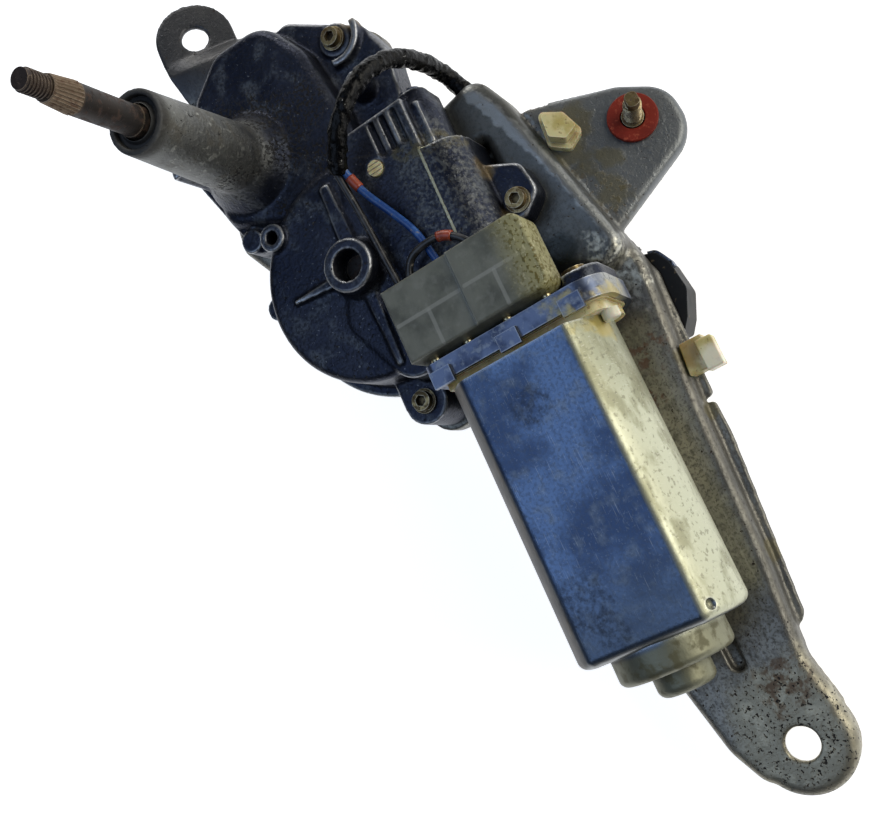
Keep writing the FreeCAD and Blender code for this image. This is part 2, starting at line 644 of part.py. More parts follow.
def worm_wheel():
    middle = MOTOR_Z
    rim_low = middle - WHEEL_FACE / 2
    phase = math.pi / 2 + math.pi / WHEEL_TEETH
    teeth = gear(WORM_MODULE, WHEEL_TEETH, phase, rim_low, rim_low + WHEEL_FACE, 0.45).translated(WHEEL)
    hollow = ring(21.5, 8.5, middle + 1.2, rim_low + WHEEL_FACE + 1, WHEEL_X, WHEEL_Y)
    hub = disc(7.0, -18.4, -7.0, WHEEL_X, WHEEL_Y)
    crank_boss = disc(4.6, -18.8, rim_low + 1, CRANK.x, CRANK.y)
    body = joined([teeth.cut(hollow), hub, crank_boss])
    axle_hole = disc(AXLE_R + RUN_GAP, -40, 0, WHEEL_X, WHEEL_Y)
    pin_hole = disc(CRANK_PIN_R, -40, middle, CRANK.x, CRANK.y)
    return body.cut([axle_hole, pin_hole])


def crank_pin():
    return disc(CRANK_PIN_R, CLIP_LOW, MOTOR_Z, CRANK.x, CRANK.y)


def contact_disc():
    low = MOTOR_Z - WHEEL_FACE / 2 - 0.6
    plate = ring(21.0, 14.0, low, low + 0.6, WHEEL_X, WHEEL_Y)
    notch = block(V(WHEEL_X + 12, WHEEL_Y - 3, low - 1), V(WHEEL_X + 18, WHEEL_Y + 3, low + 2))
    return plate.cut(notch)


def park_contacts():
    low = MOTOR_Z - WHEEL_FACE / 2 - 1.6
    holder = block(V(WHEEL_X - 6, WHEEL_Y - 26.8, low - 3), V(WHEEL_X + 6, WHEEL_Y - 23.5, low))
    leaves = []
    for offset in (-4.0, 0.0, 4.0):
        x = WHEEL_X + offset
        leaves.append(block(V(x - 0.9, WHEEL_Y - 24, low), V(x + 0.9, WHEEL_Y - 16, low + 0.4)))
    return joined([holder] + leaves)


def wheel_axle():
    return disc(AXLE_R, -19.1, BOSS_TOP - 6.0, WHEEL_X, WHEEL_Y)


def wheel_washer():
    return ring(6.4, 3.8, -6.85, -6.3, WHEEL_X, WHEEL_Y)


# Motor

def flatted(radius, half_height, low, high):
    """A length of the can's section: a round with a flat above and below."""
    round_bar = bar_x(radius, low, high)
    corner_low = V(low, MOTOR_Y - radius - 1, MOTOR_Z - half_height)
    corner_high = V(high, MOTOR_Y + radius + 1, MOTOR_Z + half_height)
    return round_bar.common(block(corner_low, corner_high))


def motor_can():
    shell = flatted(CAN_R, CAN_HALF_HEIGHT, CAN_FRONT, CAN_BACK)
    back = [e for e in shell.Edges if abs(e.BoundBox.XMin - CAN_BACK) < 0.01]
    shell = shell.makeFillet(2.6, back)
    long_edges = [e for e in shell.Edges if e.BoundBox.XLength > 60]
    shell = shell.makeFillet(3.4, long_edges)
    step = bar_x(15.0, CAN_BACK - 1, CAN_BACK + 7.5)
    step = step.makeFillet(2.0, [e for e in step.Edges if abs(e.BoundBox.XMin - CAN_BACK - 7.5) < 0.01])
    nose = bar_x(7.6, CAN_BACK + 6, CAN_BACK + 13.5)
    nose = nose.makeFillet(2.4, [e for e in nose.Edges if abs(e.BoundBox.XMin - CAN_BACK - 13.5) < 0.01])
    dimple = Part.makeSphere(1.5, V(CAN_BACK - 3.5, MOTOR_Y + 17.6, MOTOR_Z + 14.6))
    inside = flatted(CAN_R - CAN_WALL, CAN_HALF_HEIGHT - CAN_WALL, CAN_FRONT - 1, CAN_BACK - CAN_WALL)
    step_room = bar_x(7.4, CAN_BACK - 3, CAN_BACK + 6)
    nose_room = bar_x(5.4, CAN_BACK + 5, CAN_BACK + 12)
    return joined([shell, step, nose]).cut([inside, step_room, nose_room, dimple])


def end_plate():
    whole = upright(END_PLATE, END_PLATE_START, CARD_START)
    pocket = upright(END_PLATE, END_PLATE_START + 1.6, CARD_START + 1, 1.8)
    hole = bar_x(7.0, END_PLATE_START - 1, CARD_START + 1)
    tabs = []
    for y in (-19.0, 1.0, 19.0):
        tab_low = V(CARD_START - 3, MOTOR_Y + y - 3, MOTOR_Z + 15.4)
        tab_high = V(CARD_START + 1.4, MOTOR_Y + y + 3, MOTOR_Z + 16.8)
        tabs.append(block(tab_low, tab_high))
    screw_holes = [bar_x(2.1, END_PLATE_START - 1, CARD_START + 1, y) for y in MOTOR_SCREW_YS]
    return joined([whole] + tabs).cut([pocket, hole] + screw_holes)


def brush_card():
    flange = upright(END_PLATE, CARD_START, CAN_FRONT, 3.2)
    spigot = upright(END_PLATE, CARD_START - 3.5, CARD_START, 2.1)
    boss = flatted(CAN_R - CAN_WALL - 0.2, CAN_HALF_HEIGHT - CAN_WALL - 0.2, CAN_FRONT, CAN_FRONT + 3)
    holders = []
    for side in (-1, 1):
        low = MOTOR_Y + side * 13.6 - 5.8
        holders.append(block(V(CAN_FRONT + 2, low, MOTOR_Z - 4.4), V(BRUSH_X + 4, low + 11.6, MOTOR_Z + 4.4)))
    slots = [block(V(BRUSH_X - 3, MOTOR_Y - 19, MOTOR_Z - 2.6), V(BRUSH_X + 3, MOTOR_Y + 19, MOTOR_Z + 2.6))]
    slots.append(bar_x(7.4, CARD_START - 5, BRUSH_X + 6))
    slots += [bar_x(2.1, CARD_START - 5, CAN_FRONT + 1, y) for y in MOTOR_SCREW_YS]
    return joined([flange, spigot, boss] + holders).cut(slots)


def brushes():
    pair = []
    for side in (-1, 1):
        near = MOTOR_Y + side * (COMMUTATOR_R + 0.3)
        far = MOTOR_Y + side * 13.0
        brush_low = V(BRUSH_X - 2.9, min(near, far), MOTOR_Z - 2.5)
        brush_high = V(BRUSH_X + 2.9, max(near, far), MOTOR_Z + 2.5)
        pair.append(block(brush_low, brush_high))
    return Part.makeCompound(pair)


def brush_springs():
    pair = []
    for side in (-1, 1):
        coils = [ring(2.2, 1.5, 13.4 + 1.1 * i, 14.0 + 1.1 * i) for i in range(4)]
        coils.append(block(V(1.5, -0.4, 13.4), V(2.2, 0.4, 17.3)))
        spring = joined(coils)
        spring.rotate(V(0, 0, 0), X_AXIS, -90 * side)
        pair.append(spring.translated(V(BRUSH_X, MOTOR_Y, MOTOR_Z)))
    return Part.makeCompound(pair)


def magnets():
    pair = []
    for side in (-1, 1):
        shell = bar_x(CAN_R - CAN_WALL - 0.1, 108, 150).cut(bar_x(ROTOR_R + 1.0, 107, 151))
        window = block(V(107, MOTOR_Y, MOTOR_Z - 12.5), V(151, MOTOR_Y + 30, MOTOR_Z + 12.5))
        window.rotate(V(0, MOTOR_Y, MOTOR_Z), X_AXIS, 0 if side > 0 else 180)
        pair.append(shell.common(window))
    return Part.makeCompound(pair)


def worm_shaft():
    shaft = bar_x(2.5, TUNNEL_START + 5.5, CAN_BACK + 9)
    stout = bar_x(4.0, WORM_STOP, 88)
    core = bar_x(WORM_PITCH_R - 1.25, WORM_START - 1, WORM_STOP + 1)
    pitch = math.pi * WORM_MODULE
    turns = math.floor((WORM_STOP - WORM_START - 3) / pitch)
    ridge = helix_ridge(WORM_PITCH_R - 1.25, WORM_PITCH_R + 0.9, pitch, 0, turns, 1.75, 0.65)
    ridge.rotate(V(0, 0, 0), Y_AXIS, 90)
    quarter_start = WHEEL_X - pitch * round((WHEEL_X - WORM_START - 2) / pitch)
    ridge.rotate(V(0, 0, 0), X_AXIS, WORM_TURN)
    ridge = ridge.translated(V(quarter_start, MOTOR_Y, MOTOR_Z))
    return joined([shaft, stout, core, ridge])


def thrust_balls():
    return Part.makeCompound([
        Part.makeSphere(1.9, V(TUNNEL_START + 3.4, MOTOR_Y, MOTOR_Z)),
        Part.makeSphere(1.4, V(CAN_BACK + 10.6, MOTOR_Y, MOTOR_Z)),
    ])


def end_stop():
    plug = bar_x(3.2, TUNNEL_START - 1.1, TUNNEL_START + 1.4)
    slot_low = V(TUNNEL_START - 2, MOTOR_Y - 0.6, MOTOR_Z - 3.5)
    slot_high = V(TUNNEL_START - 0.1, MOTOR_Y + 0.6, MOTOR_Z + 3.5)
    return plug.cut(block(slot_low, slot_high))


def shaft_bush(outer, inner, low, high):
    return bar_x(outer, low, high).cut(bar_x(inner, low - 1, high + 1))


def armature_core():
    core = bar_x(ROTOR_R, ROTOR_START, ROTOR_STOP).cut(bar_x(2.5, 100, 160))
    cuts = []
    for i in range(8):
        slot = block(V(ROTOR_START - 1, 5.5, -1.9), V(ROTOR_STOP + 1, 12.0, 1.9))
        mouth = block(V(ROTOR_START - 1, 11, -0.8), V(ROTOR_STOP + 1, 15, 0.8))
        both = slot.fuse(mouth)
        both.rotate(V(0, 0, 0), X_AXIS, 45 * i)
        cuts.append(both.translated(V(0, MOTOR_Y, MOTOR_Z)))
    return core.cut(cuts)


def windings():
    ends = []
    for low, high in ((ROTOR_START - 6, ROTOR_START), (ROTOR_STOP, ROTOR_STOP + 6)):
        end = bar_x(11.8, low, high).cut(bar_x(4.4, low - 1, high + 1))
        ends.append(end)
    bars = []
    for i in range(8):
        bar = block(V(ROTOR_START - 0.5, 5.9, -1.6), V(ROTOR_STOP + 0.5, 11.6, 1.6))
        bar.rotate(V(0, 0, 0), X_AXIS, 45 * i)
        bars.append(bar.translated(V(0, MOTOR_Y, MOTOR_Z)))
    return joined(ends + bars)


def commutator():
    body = shaft_bush(COMMUTATOR_R, 2.5, COMMUTATOR_START, COMMUTATOR_START + 9.5)
    cuts = []
    for i in range(8):
        gap = block(V(COMMUTATOR_START - 1, 5.6, -0.25), V(COMMUTATOR_START + 8, 8, 0.25))
        gap.rotate(V(0, 0, 0), X_AXIS, 45 * i + 22.5)
        cuts.append(gap.translated(V(0, MOTOR_Y, MOTOR_Z)))
    return body.cut(cuts)


def motor_screws():
    screws = []
    for y in MOTOR_SCREW_YS:
        shank = bar_x(2.0, FLANGE_START - 1, CAN_FRONT - 0.5, y)
        head = bar_x(3.4, FLANGE_START - 3, FLANGE_START, y)
        screws.append(shank.fuse(head).removeSplitter())
    return Part.makeCompound(screws)


def card_rivets():
    rivet = bar_x(2.3, CAN_FRONT, CAN_FRONT + 2.6, MOTOR_Y + 24.2, MOTOR_Z + 5.5)
    return rivet.makeFillet(0.8, [e for e in rivet.Edges if e.BoundBox.XMin > CAN_FRONT + 2.5])


# Connector cap and wiring

def cap_block(low_y, high_y, top, round_r):
    solid = block(V(CAP_LOW.x, low_y, CAP_LOW.z), V(CAP_HIGH.x, high_y, top))
    corners = [e for e in solid.Edges if e.BoundBox.ZLength > 5 and e.BoundBox.YMin > CAP_SPLIT + 5]
    if corners:
        solid = solid.makeFillet(3.2, corners)
    upper = [e for e in solid.Edges if e.BoundBox.ZMin > CAP_LOW.z + 1]
    return solid.makeFillet(round_r, upper)


def connector_cap():
    first = cap_block(CAP_LOW.y, CAP_SPLIT + 1.5, CAP_HIGH.z - 0.9, 0.8)
    second = cap_block(CAP_SPLIT, CAP_HIGH.y, CAP_HIGH.z, 0.9)
    rooms = []
    room_low = CAP_LOW.z - 1
    room_high = CAP_HIGH.z - 2.2
    for low_y, high_y in ((28.2, 46.6), (49.0, 65.4)):
        rooms.append(block(V(CAP_LOW.x + 1.2, low_y, room_low), V(CAP_MIDDLE - 0.5, high_y, room_high)))
    for low_y, high_y in ((28.2, 37.0), (38.2, 46.6), (49.0, 57.0), (58.2, 65.4)):
        rooms.append(block(V(CAP_MIDDLE + 0.5, low_y, room_low), V(CAP_HIGH.x - 1.2, high_y, room_high)))
    return joined([first, second]).cut(rooms)


def terminal_pins():
    pins = []
    for y in (31.0, 41.0, 53.0, 64.5):
        z = DECK_TOP + 3.2
        pin = rod(0.9, V(CAP_HIGH.x, y, z), V(END_PLATE_START, y, z))
        collar = rod(1.3, V(CAP_HIGH.x, y, z), V(CAP_HIGH.x + 0.8, y, z))
        pins.append(joined([pin, collar]))
    return Part.makeCompound(pins)


def vent_plug():
    plug = disc(2.2, -4.1, DECK_TOP + 0.5, VENT.x, VENT.y)
    slots = []
    for i in range(3):
        x = VENT.x - 1.2 + 1.2 * i
        slots.append(block(V(x - 0.22, VENT.y - 3, DECK_TOP + 0.2), V(x + 0.22, VENT.y + 3, DECK_TOP + 1)))
    return plug.cut(slots)


def harness_sleeve():
    return cord(SLEEVE_ROUTE, SLEEVE_R).cut(slab(PLUG_CORNERS, -49, -38.2))


def lead(points):
    """A wire that ends flush on the sleeve's end and on the cap's wall."""
    wire = cord(points, WIRE_R).cut([harness_sleeve(), block(CAP_LOW, CAP_HIGH)])
    return max(wire.Solids, key=lambda solid: solid.Volume)


# Mounting bracket


def arm_outline(low, high, inset=0.0):
    arm = slab(ARM_CORNERS, low, high, inset)
    return arm.fuse(disc(LOW_EAR_R - inset, low, high, LOW_EAR.x, LOW_EAR.y)).removeSplitter()


def deck_outline(low, high, inset=0.0):
    return slab(DECK_CORNERS, low, high, inset)


def side_outline(low, high, inset=0.0):
    return slab(SIDE_CORNERS, low, high, inset)


def pressed(make, low, high, bend):
    """A pressed sheet shape: a skin of the sheet's thickness whose top edge is bent over to a radius.

    make(low, high, inset) gives the solid inside an outline drawn in by the inset."""
    outer = soft_top(make(low, high, 0.0), high, bend)
    inner = soft_top(make(low - 1, high - PLATE, PLATE), high - PLATE, max(bend - PLATE, 0.4))
    return outer, inner


def bead(start, end, half_width, low, high):
    length = (end - start).Length
    turn = math.degrees(heading(start, end))
    middle = block(V(0, -half_width, low), V(length, half_width, high))
    shape = joined([middle, disc(half_width, low, high), disc(half_width, low, high, length)])
    shape.rotate(V(0, 0, 0), Z_AXIS, turn)
    return shape.translated(V(start.x, start.y, 0))


def side_ear():
    """The ear beside the arm: a sheet tipped about a line along X, with its free edge rolled down."""
    sheet, room = pressed(side_outline, -SIDE_RIM, 0, 2.2)
    back = block(V(0, -20, -SIDE_RIM - 1), V(90, 1, -PLATE))
    ear = sheet.cut([room, back, disc(SIDE_HOLE.z, -9, 1, SIDE_HOLE.x, SIDE_HOLE.y)])
    ear.rotate(V(0, 0, 0), X_AXIS, -SIDE_TILT)
    return ear.translated(SIDE_BEND)


def section(x, low, high):
    """A sheet's cut end, square to X, between two edges given as (y, z) on its upper face."""
    start = V(x, *low)
    end = V(x, *high)
    through = X_AXIS.cross(end - start).normalize() * -PLATE
    return Part.makePolygon([start, end, end + through, start + through, start])


def top_ear():
    turn = math.radians(TOP_TILT)
    normal = V(0, math.sin(turn), math.cos(turn))
    half = V(0, math.cos(turn), -math.sin(turn)) * EAR_R
    near = TOP_EAR - half
    far = TOP_EAR + half
    wires = [
        section(TOP_EAR.x, (near.y, near.z), (far.y, far.z)),
        section(TOP_EAR.x + 5.4, (near.y, near.z), (far.y, far.z)),
        section(-50.0, (-21.6, -21.8), (10.5, -33.0)),
        section(-40.0, (-20.6, -25.0), (24.0, -31.5)),
        section(-33.5, (-20.0, BRACKET_TOP - 0.3), (32.0, BRACKET_TOP - 0.3)),
        section(-30.0, (-19.0, BRACKET_TOP - 0.6), (31.0, BRACKET_TOP - 0.6)),
    ]
    pieces = [Part.makeLoft([low, high], True, True) for low, high in zip(wires, wires[1:])]
    round_end = Part.makeCylinder(EAR_R, PLATE, TOP_EAR - normal * PLATE, normal)
    hole = Part.makeCylinder(EAR_HOLE_R, 20, TOP_EAR - normal * 10, normal)
    return joined(pieces + [round_end]).cut(hole)


def mounting_bracket():
    tray, tray_room = pressed(arm_outline, BRACKET_TOP - RIM, BRACKET_TOP, 3.0)
    deck, deck_room = pressed(deck_outline, BRACKET_TOP - PLATE, DECK_LEVEL, 3.0)
    deck_room = deck_room.fuse(deck_outline(BRACKET_TOP - RIM - 1, BRACKET_TOP, PLATE))
    groove = bead(BEAD_START, BEAD_END, 3.4, BRACKET_TOP - 4, BRACKET_TOP - 1)
    groove_room = bead(BEAD_START, BEAD_END, 1.9, BRACKET_TOP - 2.4, BRACKET_TOP + 1)
    side = side_ear()
    flange = slab(FLANGE_STRIP, BRACKET_TOP - RIM, BRACKET_TOP - RIM + PLATE)
    strip = slab(SIDE_STRIP, BRACKET_TOP - RIM, BRACKET_TOP - RIM + PLATE)
    pads = [disc(8.0, BRACKET_TOP - 6, BRACKET_TOP, p.x, p.y) for p in (LUG_SCREWS[0], LUG_SCREWS[2])]
    body = joined([tray.cut(tray_room), deck, groove, side, flange, strip, top_ear()] + pads)
    harness_notch = block(V(5, 57.6, BRACKET_TOP - RIM - 1), V(14, 65.6, DECK_LEVEL - PLATE))
    cuts = [deck_room, groove_room, harness_notch, disc(EAR_HOLE_R, -60, 0, LOW_EAR.x, LOW_EAR.y)]
    cuts += [disc(2.5, BRACKET_TOP - 8, DECK_LEVEL + 1, p.x, p.y) for p in LUG_SCREWS]
    return body.cut(cuts)


def on_side_ear(shape):
    """Moves a shape built on a level ear to its place on the tipped side ear."""
    shape.rotate(V(0, 0, 0), X_AXIS, -SIDE_TILT)
    return shape.translated(V(0, SIDE_BEND.y, SIDE_BEND.z))


def mounting_stud():
    x, y = SIDE_HOLE.x, SIDE_HOLE.y
    neck = disc(3.05, -PLATE, 1.4, x, y)
    core = disc(2.1, 1.4, 12.6, x, y)
    thread = helix_ridge(2.1, 2.5, 0.8, 2.0, 9.5, 0.68, 0.12).translated(V(x, y, 0))
    head = disc(6.0, -PLATE - 2.0, -PLATE, x, y)
    flat_far = block(V(x - 4, y + 1.7, 10.4), V(x + 4, y + 5, 14))
    flat_near = block(V(x - 4, y - 5, 10.4), V(x + 4, y - 1.7, 14))
    return on_side_ear(joined([neck, core, thread, head]).cut([flat_far, flat_near]))


def red_washer():
    return on_side_ear(ring(6.9, 3.3, 0, 1.4, SIDE_HOLE.x, SIDE_HOLE.y))


def harness_clip_upper():
    base = slab([(27.5, -3.5, 1.5), (31, 3, 1.5), (38, 5.5, 1.5), (41.5, 0.5, 1.5), (38, -4.5, 1.5)], 0, 2.5)
    head = slab([(30, -3.2, 1), (32.5, 2.4, 1), (37.4, 4.2, 1), (39.6, 0.2, 1), (37, -3.8, 1)], 2.5, 6.5)
    return on_side_ear(joined([base, head]))


def harness_clip_lower():
    base = block(V(101.5, 80, -36), V(110.5, 88.4, -30.5))
    head = block(V(103, 86.5, -33.5), V(111.5, 91.0, -28.5))
    return joined([base, head]).cut(arm_outline(BRACKET_TOP - RIM, BRACKET_TOP + 2))


def plug_housing():
    body = slab(PLUG_CORNERS, -49, -38.2)
    room = block(V(76, 79.6, -50), V(94, 85.4, -44))
    return body.cut(room)


def plug_lock_plate():
    band = slab(PLUG_CORNERS, -41.5, -38.6, -0.7)
    beyond = block(V(80.5, 70, -60), V(110, 100, -20))
    inner = block(V(60, 70, -60), V(80.5, 84.5, -20))
    return band.cut([slab(PLUG_CORNERS, -50, -30), beyond, inner])


PARTS = {
    "gear_housing": gear_housing,
    "gear_cover": placed_cover,
    "cover_gasket": cover_gasket,
    "cover_screws": cover_screws,
    "bracket_screws": bracket_screws,
    "spindle_bush_upper": lambda: spindle_bush(TUBE_TOP - 17, TUBE_TOP - 5),
    "spindle_bush_lower": lambda: spindle_bush(-16.6, -5),
    "spindle_seal": spindle_seal,
    "output_shaft": output_shaft,
    "output_pinion": output_pinion,
    "shaft_clip": shaft_clip,
    "shaft_washer": shaft_washer,
    "link_plate": link_plate,
    "link_pin": link_pin,
    "sector_lever": sector_lever,
    "worm_wheel": worm_wheel,
    "crank_pin": crank_pin,
    "contact_disc": contact_disc,
    "park_contacts": park_contacts,
    "wheel_axle": wheel_axle,
    "wheel_washer": wheel_washer,
    "motor_can": motor_can,
    "end_plate": end_plate,
    "brush_card": brush_card,
    "brushes": brushes,
    "brush_springs": brush_springs,
    "magnets": magnets,
    "worm_shaft": worm_shaft,
    "thrust_balls": thrust_balls,
    "end_stop": end_stop,
    "worm_bush_front": lambda: shaft_bush(TUNNEL_BUSH_R, 2.5 + RUN_GAP, TUNNEL_START + 8, TUNNEL_START + 18),
    "worm_bush_rear": lambda: shaft_bush(WORM_BORE_R, 4.0 + RUN_GAP, 67, 77),
    "tail_bush": lambda: shaft_bush(7.4, 2.5 + RUN_GAP, CAN_BACK - 1, CAN_BACK + 5),
    "armature_core": armature_core,
    "windings": windings,
    "commutator": commutator,
    "motor_screws": motor_screws,
    "card_rivets": card_rivets,
    "connector_cap": connector_cap,
    "terminal_pins": terminal_pins,
    "vent_plug": vent_plug,
    "harness_sleeve": harness_sleeve,
    "blue_wire": lambda: lead(BLUE_ROUTE),
    "black_wire": lambda: lead(BLACK_ROUTE),
    "black_wire_loop": lambda: lead(LOOP_ROUTE),
    "mounting_bracket": mounting_bracket,
    "mounting_stud": mounting_stud,
    "red_washer": red_washer,
    "harness_clip_upper": harness_clip_upper,
    "harness_clip_lower": harness_clip_lower,
    "plug_housing": plug_housing,
    "plug_lock_plate": plug_lock_plate,
}

os.makedirs("parts", exist_ok=True)
for name, make in PARTS.items():
    shape = make()
    print(name, shape.isValid(), len(shape.Solids), round(shape.Volume, 1))
    shape.exportStep(f"parts/{name}.step")

# The travel of each turning part from park to the far end of the wipe, in degrees
SWEEPS = {"wheel": WHEEL_SWEEP, "link": LINK_SWEEP, "lever": LEVER_SWEEP, "output": OUTPUT_SWEEP}
for name, turn in SWEEPS.items():
    print(name, round(math.degrees(turn), 3))
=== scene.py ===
"""Rear windshield wiper drive: its worn metal, plastics, wiring, light and camera, over the CAD frame.

Lengths in this file are in millimetres of the CAD's own frame and are turned into metres by mm()."""

import json
import math

import bpy
import numpy as np
from mathutils import Matrix, Vector, noise


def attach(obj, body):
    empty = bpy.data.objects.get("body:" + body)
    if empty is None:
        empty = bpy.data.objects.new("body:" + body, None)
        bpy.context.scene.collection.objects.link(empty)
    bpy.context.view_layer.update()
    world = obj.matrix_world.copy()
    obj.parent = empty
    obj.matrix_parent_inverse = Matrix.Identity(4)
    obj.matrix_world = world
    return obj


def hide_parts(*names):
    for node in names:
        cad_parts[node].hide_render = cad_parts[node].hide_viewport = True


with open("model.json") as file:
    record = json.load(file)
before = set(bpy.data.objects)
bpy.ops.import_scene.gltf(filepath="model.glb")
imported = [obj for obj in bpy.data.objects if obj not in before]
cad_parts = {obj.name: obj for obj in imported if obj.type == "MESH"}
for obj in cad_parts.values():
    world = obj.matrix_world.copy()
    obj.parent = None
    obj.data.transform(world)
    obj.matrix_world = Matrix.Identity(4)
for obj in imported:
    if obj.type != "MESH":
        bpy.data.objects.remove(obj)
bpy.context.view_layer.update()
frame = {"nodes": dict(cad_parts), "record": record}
NODES = frame["nodes"]
SLOT_OF = {part["node"]: part["material_slot"] for part in frame["record"]["subparts"]}

# Heights in the CAD
DECK_TOP = -2.5
FAN_TOP = -6.0
CASE_TOP = -3.0
BOSS_TOP = 5.0
BRACKET_TOP = -30.0
BRACKET_DECK = -22.0
FLOOR = -49.0
WHEEL_PLACE = (47.4, 20.6)

# Places on the object
HUB = (*WHEEL_PLACE, BOSS_TOP)
TOP_EAR = (-60, -11, -28)
SIDE_EAR = (44, 98, -33)
LOW_EAR = (201, 67, BRACKET_TOP)
VENT_CORNER = (27.6, 49.7, DECK_TOP)

# Wiring, as in the CAD
SLEEVE_R = 2.9
WIRE_R = 1.05
SLEEVE_ROUTE = [
    (73.4, 81, -43.5), (65, 78.3, -42.6), (55, 73.6, -38), (45, 70, -30.5), (34, 68.2, -28),
    (22, 65.8, -27.6), (11, 62.2, -27.4), (1.6, 58.8, -25.6), (0.9, 57.2, -11), (1.1, 52.5, -1),
    (5.5, 46, 6.5), (11.5, 39, 8.5), (18, 33.2, 7.6), (24, 29, 4.2),
]
BLUE_ROUTE = [(23.6, 30.6, 4.6), (30, 31.4, 2.2), (41.5, 37.5, 0.6), (50, 41.2, -0.3), (60.5, 42.5, -0.4)]
BLACK_ROUTE = [(23.0, 28.4, 4.4), (30, 28.6, 2.4), (43, 29.4, 1.6), (52, 29.8, 1.2), (60.5, 30.5, 1.0)]
LOOP_ROUTE = [(60.5, 33.5, 1.0), (54.5, 34.5, 1.2), (52.5, 42, 1.8), (54, 50, 1.9), (60.5, 54, 1.2)]


def mm(*values):
    """Millimetres as metres: a number for one value, a vector for three."""
    if len(values) == 1:
        return values[0] * 0.001
    return Vector(values) * 0.001


def tone(red, green, blue):
    """A colour as seen on a screen, from 0 to 255, as the linear colour that a shader takes."""
    linear = []
    for value in (red, green, blue):
        share = value / 255
        linear.append(share / 12.92 if share <= 0.04045 else ((share + 0.055) / 1.055) ** 2.4)
    return (*linear, 1.0)


# Finishes

